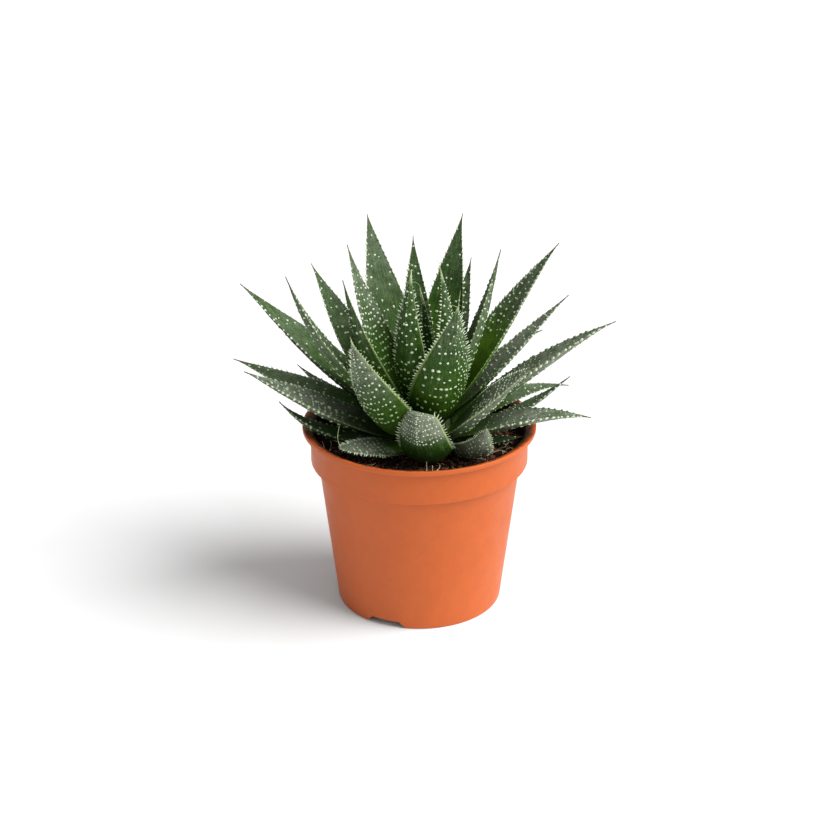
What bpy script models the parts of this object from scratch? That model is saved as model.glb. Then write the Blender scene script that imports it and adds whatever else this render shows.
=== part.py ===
"""Potted lace aloe: a plastic nursery pot, its soil, the plant's short stem and every leaf of the rosette.

Metres, +Z up. The pot's axis is the Z axis, its foot stands on z = 0 and the front is -Y.
"""

import math
from collections import namedtuple

import bmesh
import bpy
import numpy as np

MM = 0.001
GAP = 0.3 * MM
MERGE_DISTANCE = 0.01 * MM

# Pot, a 12 cm nursery pot
POT_SIDES = 48
POT_HEIGHT = 97.5 * MM
WALL = 1.5 * MM
LIP_RADIUS = 60.0 * MM
LIP_HEIGHT = 2.2 * MM
COLLAR_RADIUS = 55.9 * MM
COLLAR_BOTTOM = 77.5 * MM
BODY_TOP_RADIUS = 52.2 * MM
FOOT_RADIUS = 42.8 * MM
FOOT_ROUND = 0.8 * MM
FLOOR_UNDERSIDE = 3.8 * MM
FLOOR_THICKNESS = 1.8 * MM
FLARE = 1.6 * MM

# Notches round the pot's foot and drain holes in its floor
NOTCH_HEADINGS = (-24.3, 95.7, 215.7)
NOTCH_HEIGHT = 3.4 * MM
NOTCH_WIDTH_BELOW = 21.4 * MM
NOTCH_WIDTH_ABOVE = 15.0 * MM
NOTCH_CUT = 14.0 * MM
NOTCH_BELOW = 2.0 * MM
DRAIN_COUNT = 6
DRAIN_RADIUS = 3.5 * MM
DRAIN_CIRCLE = 27.0 * MM
DRAIN_SIDES = 12
DRAIN_START = 2.0
DRAIN_CUT = 12.0 * MM

# Soil
SOIL_SIDES = 36
SOIL_EDGE_HEIGHT = 86.0 * MM
SOIL_CENTRE_HEIGHT = 87.0 * MM
SOIL_RINGS = (20.0, 32.0, 44.0)
SOIL_RIPPLE = 0.5 * MM
HOLE_OVERCUT = 10.0 * MM

# Stem and the crown that its leaves stand on
CROWN_X = 3.0 * MM
CROWN_Y = -2.0 * MM
CROWN_HEIGHT = 88.0 * MM
CROWN_RADIUS = 16.0 * MM
CROWN_RISE = 19.0 * MM
STEM_RADIUS = 11.0 * MM
STEM_DEPTH = 24.0 * MM
STEM_SIDES = 24
NECK_DROP = 0.6 * MM
CROWN_STEPS = range(75, -1, -15)

# Leaves: shape shared by all, as shares of their length and width
SECTION = ((-1.0, 0), (0.0, 0), (1.0, 0), (0.55, 1), (0.0, 1), (-0.55, 1))
TOOTH_SPACING = 5.0 * MM
TOOTH_HEIGHT = 0.9 * MM
TUBERCLE_HEIGHT = 0.3 * MM
AWN_RADIUS = 0.45 * MM
AWN_FROM = 0.5
SPINE_STEPS = 120
CURL_POWER = 1.5
WIDEST_SHARE = 0.66
BASE_SHARE = 0.42
BASE_POWER = 2.5
ROOT_ROUND = 0.05
THICKNESS_SHARE = 0.22
THICKNESS_POWER = 0.8
KEEL_POWER = 0.7
CHANNEL_SHARE = 0.10
WRAP_FADE = 0.65
NEAREST_REACH = 10.0 * MM
RELIEF_START = 0.12
RELIEF_END = 0.93
RELIEF_FADE = 0.1

# heading: degrees from the front, positive to the right. rise: degrees over the horizontal at the root.
# curl and sweep: change of rise and of heading from root to tip. seat: degrees up the crown to the root.
# length and width: millimetres. roll: degrees that the leaf is turned about its middle line.
# point: how drawn out its tip is.
Leaf = namedtuple("Leaf", "heading rise curl sweep seat length width roll point", defaults=(0, 1.25))

LEAVES = {
    # low ring, from the left round the front to the right
    "leaf_01": Leaf(-106, 18, -3, 0, 21, 93, 20, -10),
    "leaf_02": Leaf(-75, 28, 2, 0, 18, 88, 21, -12),
    "leaf_03": Leaf(-82, 4, 46, 0, 7, 65, 16),
    "leaf_04": Leaf(-122, 12, 18, 0, 8, 68, 15),
    "leaf_05": Leaf(-44, 15, -3, -18, 7, 41, 16, -14, 0.6),
    "leaf_06": Leaf(4, 22, 78, -33, 8.5, 40, 26.5, 0, 0.18),
    "leaf_07": Leaf(45, 5, 70, -30, 7.5, 45, 15.4, -36, 0.75),
    "leaf_08": Leaf(78, 2, 9, 10, 7, 35, 12),
    "leaf_09": Leaf(76, 26, -32, 0, 17, 73, 19, 4),
    "leaf_10": Leaf(96, 18, 22, 0, 9, 66, 12),
    "leaf_11": Leaf(120, 21, -38, 0, 14, 75, 13, 10),
    # middle ring
    "leaf_12": Leaf(-96, 39, 3, 0, 43, 107, 22.5, -12),
    "leaf_13": Leaf(-71, 43, 26, 1, 52, 104, 21, -10),
    "leaf_14": Leaf(-130, 43, 10, 0, 32, 94, 22, -5),
    "leaf_15": Leaf(-36.8, 45, 24, -4, 35, 77, 29, 6, 1.25),
    "leaf_16": Leaf(38, 46, -8, 32, 26, 76, 23, 24),
    "leaf_17": Leaf(86, 41, -15, 0, 35, 100, 21, 2),
    "leaf_18": Leaf(113, 39, -2, 0, 46, 88, 14.5, 0),
    "leaf_19": Leaf(132, 38, -36, 0, 26, 78, 16),
    "leaf_20": Leaf(110, 56, -9, 0, 58, 104, 20.5, 8),
    # upright ring
    "leaf_21": Leaf(-59, 57, 18, -3, 61, 88, 20, -8),
    "leaf_22": Leaf(-120, 60, 14, 4, 62, 90, 18, -8),
    "leaf_23": Leaf(-153, 54, 17, 6, 47, 104, 25, 0, 1.1),
    "leaf_24": Leaf(-165, 70, 16, 0, 78, 87, 17),
    "leaf_25": Leaf(-21, 61, 50, 0, 70, 85, 17),
    "leaf_26": Leaf(50, 72, 36, 0, 76, 80, 13),
    "leaf_27": Leaf(140, 84, 26, 0, 88, 66, 8),
    "leaf_28": Leaf(165, 61, -3, -9, 54, 102, 22),
    "leaf_29": Leaf(158, 45, 16, 0, 40, 85, 15),
    "leaf_30": Leaf(16, 62, 10, 18, 56, 80, 30),
    "leaf_31": Leaf(86, 66, 10, 0, 70, 92, 18, 5),
    # far side, hidden from the front
    "leaf_32": Leaf(-176, 40, 28, 0, 34, 65, 16),
    "leaf_33": Leaf(-164, 22, 24, 0, 14, 57, 14),
    "leaf_34": Leaf(-142, 28, 20, 0, 20, 73, 16),
    "leaf_35": Leaf(148, 26, 18, 0, 18, 66, 14),
    "leaf_36": Leaf(168, 18, 24, 0, 10, 55, 13),
    "leaf_37": Leaf(-179, 6, 22, 0, 4, 50, 12),
    "leaf_38": Leaf(-146, 6, 20, 0, 4, 54, 12),
    "leaf_39": Leaf(140, 8, 18, 0, 4, 50, 12),
}

YOUNG_LEAVES = ("leaf_25", "leaf_26", "leaf_27")

COLOURS = {
    "pot_plastic": ((0.68, 0.17, 0.06), 0.42),
    "potting_soil": ((0.035, 0.022, 0.015), 0.95),
    "stem_bark": ((0.16, 0.14, 0.06), 0.80),
    "leaf_green": ((0.035, 0.10, 0.03), 0.50),
    "young_leaf_green": ((0.05, 0.15, 0.03), 0.50),
}


def clear_scene():
    for thing in list(bpy.data.objects):
        bpy.data.objects.remove(thing, do_unlink=True)


def new_collection(name):
    collection = bpy.data.collections.new(name)
    bpy.context.scene.collection.children.link(collection)
    return collection


def make_material(name):
    colour, roughness = COLOURS[name]
    material = bpy.data.materials.new(name)
    material.use_nodes = True
    shader = material.node_tree.nodes["Principled BSDF"]
    shader.inputs["Base Color"].default_value = (*colour, 1.0)
    shader.inputs["Roughness"].default_value = roughness
    shader.inputs["Metallic"].default_value = 0.0
    return material


def object_from_bmesh(name, mesh_data, collection):
    mesh = bpy.data.meshes.new(name)
    mesh_data.to_mesh(mesh)
    mesh_data.free()
    thing = bpy.data.objects.new(name, mesh)
    collection.objects.link(thing)
    return thing


def turned(name, profile, sides, collection):
    """An outline of (radius, height) points turned round Z.

    It runs from the axis over the top and down the outer side.
    """
    outline = bmesh.new()
    points = [outline.verts.new((radius, 0.0, height)) for radius, height in profile]
    for start, end in zip(points, points[1:] + points[:1]):
        if start.co.x > 0.0 or end.co.x > 0.0:
            outline.edges.new((start, end))
    thing = object_from_bmesh(name, outline, collection)
    screw = thing.modifiers.new("turn", "SCREW")
    screw.axis = "Z"
    screw.angle = math.radians(360.0)
    screw.steps = sides
    screw.render_steps = sides
    screw.use_merge_vertices = True
    screw.merge_threshold = MERGE_DISTANCE
    screw.use_smooth_shade = True
    return thing


def cut(thing, cutter):
    cutter.hide_render = True
    cutter.display_type = "WIRE"
    boolean = thing.modifiers.new(cutter.name, "BOOLEAN")
    boolean.operation = "DIFFERENCE"
    boolean.solver = "EXACT"
    boolean.object = cutter


def wall_radius(height):
    """Outer radius of the pot's conical body at a height."""
    share = height / COLLAR_BOTTOM
    return FOOT_RADIUS + share * (BODY_TOP_RADIUS - FOOT_RADIUS)


def pot_outline():
    floor_top = FLOOR_UNDERSIDE + FLOOR_THICKNESS
    lip_bottom = POT_HEIGHT - LIP_HEIGHT
    inner_step = COLLAR_BOTTOM + WALL
    inside = [
        (0.0, floor_top),
        (wall_radius(floor_top) - WALL, floor_top),
        (BODY_TOP_RADIUS - WALL, inner_step),
        (COLLAR_RADIUS - WALL, inner_step + WALL),
        (COLLAR_RADIUS - WALL, lip_bottom),
        (LIP_RADIUS - WALL, POT_HEIGHT),
    ]
    outside = [
        (LIP_RADIUS, POT_HEIGHT),
        (LIP_RADIUS, lip_bottom),
        (COLLAR_RADIUS, lip_bottom - FLARE),
        (COLLAR_RADIUS, COLLAR_BOTTOM + FOOT_ROUND),
        (COLLAR_RADIUS - FOOT_ROUND, COLLAR_BOTTOM),
        (BODY_TOP_RADIUS, COLLAR_BOTTOM),
        (wall_radius(FOOT_ROUND), FOOT_ROUND),
        (FOOT_RADIUS - FOOT_ROUND, 0.0),
        (FOOT_RADIUS - WALL, 0.0),
        (wall_radius(FLOOR_UNDERSIDE) - WALL, FLOOR_UNDERSIDE),
        (0.0, FLOOR_UNDERSIDE),
    ]
    return inside + outside


def notch_cutter(heading, collection):
    """A block that narrows upwards, laid through the foot ring at a heading from the front."""
    block = bmesh.new()
    bmesh.ops.create_cube(block, size=1.0)
    for vertex in block.verts:
        above = vertex.co.z > 0.0
        width = NOTCH_WIDTH_ABOVE if above else NOTCH_WIDTH_BELOW
        vertex.co.x *= width
        vertex.co.y = -FOOT_RADIUS + vertex.co.y * NOTCH_CUT
        vertex.co.z = NOTCH_HEIGHT if above else -NOTCH_BELOW
    thing = object_from_bmesh(f"notch_cutter_{heading:.0f}", block, collection)
    thing.rotation_euler.z = math.radians(heading)
    return thing


def drain_cutter(number, collection):
    angle = math.radians(DRAIN_START + 360.0 * number / DRAIN_COUNT)
    hole = bmesh.new()
    bmesh.ops.create_cone(
        hole, cap_ends=True, segments=DRAIN_SIDES,
        radius1=DRAIN_RADIUS, radius2=DRAIN_RADIUS, depth=DRAIN_CUT,
    )
    thing = object_from_bmesh(f"drain_cutter_{number}", hole, collection)
    thing.location = (DRAIN_CIRCLE * math.cos(angle), DRAIN_CIRCLE * math.sin(angle), FLOOR_UNDERSIDE)
    return thing


def build_pot(collection, cutters):
    pot = turned("pot", pot_outline(), POT_SIDES, collection)
    for heading in NOTCH_HEADINGS:
        cut(pot, notch_cutter(heading, cutters))
    for number in range(DRAIN_COUNT):
        cut(pot, drain_cutter(number, cutters))
    return pot


def soil_outline():
    floor_top = FLOOR_UNDERSIDE + FLOOR_THICKNESS
    inner_step = COLLAR_BOTTOM + WALL
    edge = COLLAR_RADIUS - WALL - GAP
    ripples = []
    for number, radius in enumerate(SOIL_RINGS):
        share = 1.0 - radius * MM / edge
        level = SOIL_EDGE_HEIGHT + share * (SOIL_CENTRE_HEIGHT - SOIL_EDGE_HEIGHT)
        ripples.append((radius * MM, level + SOIL_RIPPLE * (-1) ** number))
    return [
        (0.0, SOIL_CENTRE_HEIGHT),
        *ripples,
        (edge, SOIL_EDGE_HEIGHT),
        (edge, inner_step + WALL),
        (BODY_TOP_RADIUS - WALL - GAP, inner_step),
        (wall_radius(floor_top) - WALL - GAP, floor_top + GAP),
        (0.0, floor_top + GAP),
    ]


def build_soil(collection, cutters):
    soil = turned("potting_soil", soil_outline(), SOIL_SIDES, collection)
    hole = bmesh.new()
    radius = STEM_RADIUS + GAP
    depth = STEM_DEPTH + GAP + HOLE_OVERCUT
    bmesh.ops.create_cone(
        hole, cap_ends=True, segments=STEM_SIDES, radius1=radius, radius2=radius, depth=depth
    )
    cutter = object_from_bmesh("stem_hole_cutter", hole, cutters)
    cutter.location = (CROWN_X, CROWN_Y, CROWN_HEIGHT - STEM_DEPTH - GAP + depth / 2)
    cut(soil, cutter)
    return soil


def build_stem(collection):
    """A plug in the soil that widens into the rounded crown."""
    foot = CROWN_HEIGHT - STEM_DEPTH
    crown = []
    for degrees in CROWN_STEPS:
        angle = math.radians(degrees)
        radius = (CROWN_RADIUS - GAP) * math.cos(angle)
        crown.append((radius, CROWN_HEIGHT + (CROWN_RISE - GAP) * math.sin(angle)))
    outline = [
        (0.0, CROWN_HEIGHT + CROWN_RISE - GAP),
        *crown,
        (STEM_RADIUS, CROWN_HEIGHT - NECK_DROP),
        (STEM_RADIUS, foot),
        (0.0, foot),
    ]
    stem = turned("stem", outline, STEM_SIDES, collection)
    stem.location = (CROWN_X, CROWN_Y, 0.0)
    return stem


def leaf_root(leaf):
    """Where the leaf stands on the crown."""
    heading = math.radians(leaf.heading)
    seat = math.radians(leaf.seat)
    reach = CROWN_RADIUS * math.cos(seat)
    return np.array([
        CROWN_X + reach * math.sin(heading),
        CROWN_Y - reach * math.cos(heading),
        CROWN_HEIGHT + CROWN_RISE * math.sin(seat),
    ])


def leaf_angles(leaf, share):
    rise = np.radians(leaf.rise + leaf.curl * share ** CURL_POWER)
    heading = np.radians(leaf.heading + leaf.sweep * share)
    return rise, heading


def leaf_direction(leaf, share):
    rise, heading = leaf_angles(leaf, share)
    return np.stack([np.cos(rise) * np.sin(heading), -np.cos(rise) * np.cos(heading), np.sin(rise)], axis=-1)


def leaf_axes(leaf, share):
    """Unit vectors to the leaf's right edge and out of its upper face."""
    _, heading = leaf_angles(leaf, share)
    roll = math.radians(leaf.roll)
    level = np.stack([np.cos(heading), np.sin(heading), np.zeros_like(heading)], axis=-1)
    raised = np.cross(leaf_direction(leaf, share), level)
    side = level * math.cos(roll) + raised * math.sin(roll)
    up = raised * math.cos(roll) - level * math.sin(roll)
    return side, up


def leaf_spine(leaf, share):
    """Points of the leaf's middle line: its direction summed up in small steps from the root."""
    middles = (np.arange(SPINE_STEPS) + 0.5) / SPINE_STEPS
    steps = leaf_direction(leaf, middles) * leaf.length * MM / SPINE_STEPS
    path = np.vstack([np.zeros(3), np.cumsum(steps, axis=0)])
    knots = np.linspace(0.0, 1.0, SPINE_STEPS + 1)
    return leaf_root(leaf) + np.stack([np.interp(share, knots, path[:, axis]) for axis in range(3)], axis=-1)


def leaf_fullness(leaf, share):
    """Width over the greatest width: a drawn-out tip, a broad middle and a root rounded off."""
    from_tip = 1.0 - share
    tip = np.sin(math.pi / 2 * np.clip(from_tip / WIDEST_SHARE, 0.0, 1.0)) ** leaf.point
    narrowing = np.clip((from_tip - WIDEST_SHARE) / (1.0 - WIDEST_SHARE), 0.0, 1.0) ** BASE_POWER
    rounding = np.sqrt(np.clip(share / ROOT_ROUND, 0.0, 1.0))
    return tip * (1.0 - (1.0 - BASE_SHARE) * narrowing) * rounding


def leaf_sizes(leaf, share):
    """Half width, thickness under the edges, and depth of the channel, at shares of the length."""
    fullness = leaf_fullness(leaf, share)
    awn = AWN_RADIUS * (share > AWN_FROM)
    half_width = np.maximum(leaf.width * MM / 2 * fullness, awn)
    thickness = np.maximum(THICKNESS_SHARE * leaf.width * MM * fullness ** THICKNESS_POWER, 2 * awn)
    rise, _ = leaf_angles(leaf, share)
    spine = leaf_spine(leaf, share)
    reach = np.maximum(np.hypot(spine[:, 0] - CROWN_X, spine[:, 1] - CROWN_Y), NEAREST_REACH)
    wrap = (1.0 - WRAP_FADE * share) * half_width ** 2 * np.abs(np.sin(rise)) / (2 * reach)
    channel = wrap + CHANNEL_SHARE * half_width * np.sqrt(np.sin(math.pi * np.clip(share, 0.0, 1.0)))
    return half_width, thickness, channel


def leaf_points(leaf, share, across, below):
    """Points of the leaf's skin: across runs from edge to edge, below is 1 on the lower face."""
    side, up = leaf_axes(leaf, share)
    half_width, thickness, channel = leaf_sizes(leaf, share)
    bow = 1.0 - across ** 2
    drop = channel * bow + below * thickness * bow ** KEEL_POWER
    return leaf_spine(leaf, share) + (half_width * across)[:, None] * side - drop[:, None] * up


def build_leaf(name, leaf, collection):
    """A sphere's rings drawn out along the leaf: every other ring has teeth, and rows of raised spots."""
    rings = 2 * round(leaf.length * MM / TOOTH_SPACING)
    sphere = bmesh.new()
    bmesh.ops.create_uvsphere(sphere, u_segments=len(SECTION), v_segments=rings, radius=1.0)
    places = np.array([vertex.co[:] for vertex in sphere.verts])
    ring = np.rint(np.arccos(np.clip(places[:, 2], -1.0, 1.0)) / math.pi * rings).astype(int)
    turn = np.arctan2(places[:, 1], places[:, 0]) / math.tau
    column = np.floor(turn * len(SECTION)).astype(int) % len(SECTION)
    share = ring / rings
    section = np.array(SECTION)[column]
    across = np.where((ring == 0) | (ring == rings), 0.0, section[:, 0])
    below = np.where((ring == 0) | (ring == rings), 0.0, section[:, 1])
    points = leaf_points(leaf, share, across, below)
    points += leaf_relief(leaf, share, across, below, ring % 2 == 1)
    for vertex, point in zip(sphere.verts, points):
        vertex.co = point
    for face in sphere.faces:
        face.smooth = True
    return object_from_bmesh(name, sphere, collection)


def leaf_relief(leaf, share, across, below, raised):
    """Teeth push the edges outwards and raised spots push the lower face down, on the raised rings."""
    side, up = leaf_axes(leaf, share)
    after_root = np.clip((share - RELIEF_START) / RELIEF_FADE, 0.0, 1.0)
    before_tip = np.clip((RELIEF_END - share) / RELIEF_FADE, 0.0, 1.0)
    grown = raised * after_root * before_tip
    tooth = TOOTH_HEIGHT * grown * (np.abs(across) == 1.0) * np.sign(across)
    spot = TUBERCLE_HEIGHT * grown * below
    return tooth[:, None] * side - spot[:, None] * up


def main():
    clear_scene()
    plant = new_collection("potted_lace_aloe")
    cutters = new_collection("cutters")
    materials = {name: make_material(name) for name in COLOURS}
    build_pot(plant, cutters).data.materials.append(materials["pot_plastic"])
    build_soil(plant, cutters).data.materials.append(materials["potting_soil"])
    build_stem(plant).data.materials.append(materials["stem_bark"])
    for name, leaf in LEAVES.items():
        green = "young_leaf_green" if name in YOUNG_LEAVES else "leaf_green"
        build_leaf(name, leaf, plant).data.materials.append(materials[green])


main()
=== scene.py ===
"""Potted lace aloe: the finished surfaces of the pot, of the soil with its litter, and of every leaf.

Metres, +Z up. The pot's axis is the Z axis, its foot stands on z = 0 and the front is -Y. A heading is an
angle round an upright axis, counted from the front to the right.
"""

import itertools
import math
from collections import namedtuple

import bpy
import numpy as np
from bpy.props import FloatProperty, FloatVectorProperty, IntProperty, PointerProperty
from bpy.types import Operator, Panel, PropertyGroup
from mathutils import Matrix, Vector


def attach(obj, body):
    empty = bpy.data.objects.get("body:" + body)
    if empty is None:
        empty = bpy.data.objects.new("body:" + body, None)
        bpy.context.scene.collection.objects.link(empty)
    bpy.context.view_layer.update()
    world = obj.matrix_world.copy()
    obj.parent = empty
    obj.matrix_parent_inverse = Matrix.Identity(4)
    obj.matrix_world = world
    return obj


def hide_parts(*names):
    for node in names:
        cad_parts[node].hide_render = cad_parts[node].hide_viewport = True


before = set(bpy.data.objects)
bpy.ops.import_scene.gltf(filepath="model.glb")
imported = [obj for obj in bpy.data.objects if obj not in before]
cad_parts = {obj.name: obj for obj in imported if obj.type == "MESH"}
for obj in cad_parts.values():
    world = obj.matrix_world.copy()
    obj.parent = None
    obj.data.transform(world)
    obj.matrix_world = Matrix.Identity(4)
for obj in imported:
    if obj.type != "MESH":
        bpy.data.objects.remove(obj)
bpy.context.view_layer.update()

bl_info = {
    "name": "Potted lace aloe",
    "version": (1, 0, 0),
    "blender": (4, 5, 0),
    "location": "3D View > Sidebar > Aloe",
    "description": "Makes the surfaces of a potted lace aloe, its pot, its soil and the studio round it",
    "category": "Object",
}

MM = 0.001
BODY = "root"

# Pot
COLLAR_RADIUS = 55.9 * MM
COLLAR_BOTTOM = 77.5 * MM
BODY_TOP_RADIUS = 52.2 * MM
FOOT_RADIUS = 42.8 * MM
FLOOR_UNDERSIDE = 3.8 * MM
FLOOR_TOP = FLOOR_UNDERSIDE + 1.8 * MM
LIP_HEIGHT = 2.2 * MM
FLARE = 1.6 * MM
NOTCH_HEADINGS = (-24.3, 95.7, 215.7)
NOTCH_HEIGHT = 3.4 * MM
NOTCH_HALF_BELOW = 10.7 * MM
NOTCH_HALF_ABOVE = 7.5 * MM
NOTCH_REACH = 9.0 * MM
DRAIN_COUNT = 6
DRAIN_RADIUS = 3.5 * MM
DRAIN_CIRCLE = 27.0 * MM
DRAIN_START = 92.0
CORNER_STEPS = 6

# Soil
SOIL_EDGE_HEIGHT = 86.0 * MM
SOIL_CENTRE_HEIGHT = 87.0 * MM
SOIL_GAP = 0.3 * MM
SOIL_RINGS = 72
SOIL_COLUMNS = 288

# Crumbs: free margin at the wall, usual size, spread of sizes, limits of size, how high they sit, and the
# least and greatest stretch and roughness
CRUMB_MARGIN = 3.2 * MM
CRUMB_SIZE = 0.62
CRUMB_SPREAD = 0.45
CRUMB_LIMITS = (0.3, 1.7)
CRUMB_SEAT = 0.35
CRUMB_STRETCH = (0.55, 1.25)
CRUMB_ROUGHNESS = (0.72, 1.25)

# Fibres: free margin at the wall for their starts, greatest radius, height of the start, least height, rise
# in degrees, greatest bend in radians, and how much they narrow
FIBRE_MARGIN = 6 * MM
FIBRE_LIMIT = COLLAR_RADIUS - 2.6 * MM
FIBRE_START = 0.3 * MM
FIBRE_LEAST = 0.2 * MM
FIBRE_RISE = (-5, 35)
FIBRE_BEND = 2.6
FIBRE_TAPER = 0.6

# Lumps in the soil: strength, cell in millimetres and seed
SOIL_LUMPS = ((0.9, 9, 11), (0.7, 3.5, 12), (0.35, 1.4, 13))

# The part of the soil on the right where more crumbs are reddish brown, partly its own brown bits and partly
# painted light where the lamp falls: right of the first, and no further than the second from the middle
# plane.
# Tones are raised to a power: the lower it is, the more crumbs are reddish.
LIT_SOIL_FROM = 30 * MM
LIT_SOIL_HALF_DEPTH = 22 * MM
LIT_SOIL_POWER = 0.7
OTHER_SOIL_POWER = 3.0

# Pale strands in the soil: x and y of the foot, heading, rise, length, radius, and how far it turns sideways
# and upwards, in millimetres and degrees
STRANDS = (
    (3.5, -38.0, 150, 78, 7.5, 0.38, 30, 30),
    (6.0, -39.5, 60, 72, 6.0, 0.34, -40, 20),
    (7.5, -37.5, 100, 55, 8.0, 0.26, 90, -60),
    (1.5, -41.0, -80, 40, 7.0, 0.22, -60, -50),
    (-26.0, -30.0, 80, 35, 8.0, 0.24, 110, -60),
    (-24.0, -33.0, -60, 50, 6.5, 0.22, -120, -70),
    (-30.0, -28.0, 10, 30, 9.0, 0.20, 140, -40),
    (-48.5, -14.0, -20, 80, 7.5, 0.22, 60, 60),
    (-46.0, -12.0, 120, 60, 7.0, 0.20, -90, 40),
    (-36.0, -36.5, -40, 25, 9.0, 0.22, 120, -30),
    (-10.0, -44.0, 80, 20, 10.0, 0.20, 60, -30),
    (30.0, -28.5, 60, 48, 12.0, 0.36, 25, -105),
    (33.0, -25.5, 110, 30, 9.0, 0.28, -80, -50),
    (40.0, -20.0, 80, 60, 9.0, 0.28, 60, -110),
    (43.0, -8.0, 120, 50, 11.0, 0.28, 90, -80),
    (46.0, -6.0, -70, 55, 11.0, 0.30, -60, -70),
    (43.0, -2.0, 60, 60, 10.0, 0.28, 120, -90),
    (47.5, -10.0, 20, 65, 9.0, 0.26, -100, -80),
    (38.5, -12.0, 100, 50, 12.0, 0.26, -60, -60),
    (45.0, -14.0, -60, 55, 10.0, 0.34, 70, -60),
    (41.0, -5.0, -20, 70, 9.0, 0.34, -50, -70),
    (48.0, -3.0, -50, 60, 9.0, 0.30, 80, -60),
    (44.5, -18.0, 30, 50, 9.0, 0.30, 100, -50),
    (36.0, -17.0, 130, 60, 10.0, 0.30, -90, -80),
    (20.0, -41.0, -70, 15, 9.0, 0.20, 70, -20),
)
STRAND_FULLNESS = 1.15
STRAND_DEPTH = 0.3 * MM

# Crown that the leaves stand on
CROWN = np.array([3.0, -2.0, 88.0]) * MM
CROWN_RADIUS = 16.0 * MM
CROWN_RISE = 19.0 * MM

# Leaves: shape shared by all, as shares of their length and width
SPINE_STEPS = 120
CURL_POWER = 1.5
WIDEST_SHARE = 0.66
BASE_SHARE = 0.42
BASE_POWER = 2.5
ROOT_ROUND = 0.05
THICKNESS_SHARE = 0.22
THICKNESS_POWER = 0.8
BOW_POWER = 0.7
KEEL_SHARE = 0.10
KEEL_WIDTH = 0.16
KEEL_FROM = 0.35
KEEL_RUN = 0.3
CHANNEL_SHARE = 0.10
WRAP_FADE = 0.65
NEAREST_REACH = 10.0 * MM
AWN_RADIUS = 0.46 * MM
AWN_END_RADIUS = 0.2 * MM
AWN_FROM = 0.8
RING_SPACING = 1.25 * MM
END_RINGS = (0.35, 0.6, 0.8, 0.92)
LEAF_COLUMNS = 28

# Noise in the skin: how far it moves the faces and the edges, in millimetres, its cells, and over what share
# of the leaf it fades
RIPPLE = 0.22
RIPPLE_CELL = 7 * MM
WAVER = 0.18
WAVER_CELL = 5 * MM
NOISE_FADE = 0.2

# Seeds of the random draws, to which the leaf's number is added, and the step between two groups of spots
RIPPLE_SEED = 100
WAVER_SEED = 200
OUTER_SEED = 400
INNER_SEED = 500
SEED_STEP = 50
TEETH_SEED = 600
STRETCH_SEED = 700

# Spots: scatter across and along the leaf as shares of the gap and the row, scatter of a single line, cell
# and strength of the patches, least and greatest size and stretch, and height over radius
SPOT_SCATTER = (0.13, 0.09)
LINE_SCATTER = 0.03
PATCH_CELL = 5 * MM
PATCH_STRENGTH = 1.2
SPOT_SIZES = (0.7, 1.2)
SPOT_STRETCH = (0.85, 1.3)
SPOT_HEIGHT = 0.5

# Teeth: where they start and end, steps of the edge, scatter along it, how far they lean to the tip and
# stray, least and greatest size, how flat they are, those on the keel against the others, and the smallest
# share of their size that they fall to near the root and where the leaf is narrower than the last
TEETH_FROM = 0.12
KEEL_TEETH_FROM = 0.7
TEETH_TO = 0.995
EDGE_STEPS = 400
TOOTH_SCATTER = 0.13
TOOTH_LEAN = 0.35
TOOTH_STRAY = 0.12
TOOTH_SIZES = (0.75, 1.2)
TOOTH_FLATNESS = 0.6
KEEL_TOOTH = 0.6
SMALLEST_TOOTH = 0.3
FULL_TOOTH_WIDTH = 3.0 * MM

HAIR_ROOT = 0.97
HAIR_TAPER = 0.7

# heading: degrees. rise: degrees over the horizontal at the root. curl and sweep: change of rise and of
# heading from root to tip. seat: degrees up the crown to the root. length and width: millimetres. roll:
# degrees that the leaf is turned about its middle line. point: how drawn out its tip is.
Leaf = namedtuple("Leaf", "heading rise curl sweep seat length width roll point", defaults=(0, 1.25))

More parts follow.
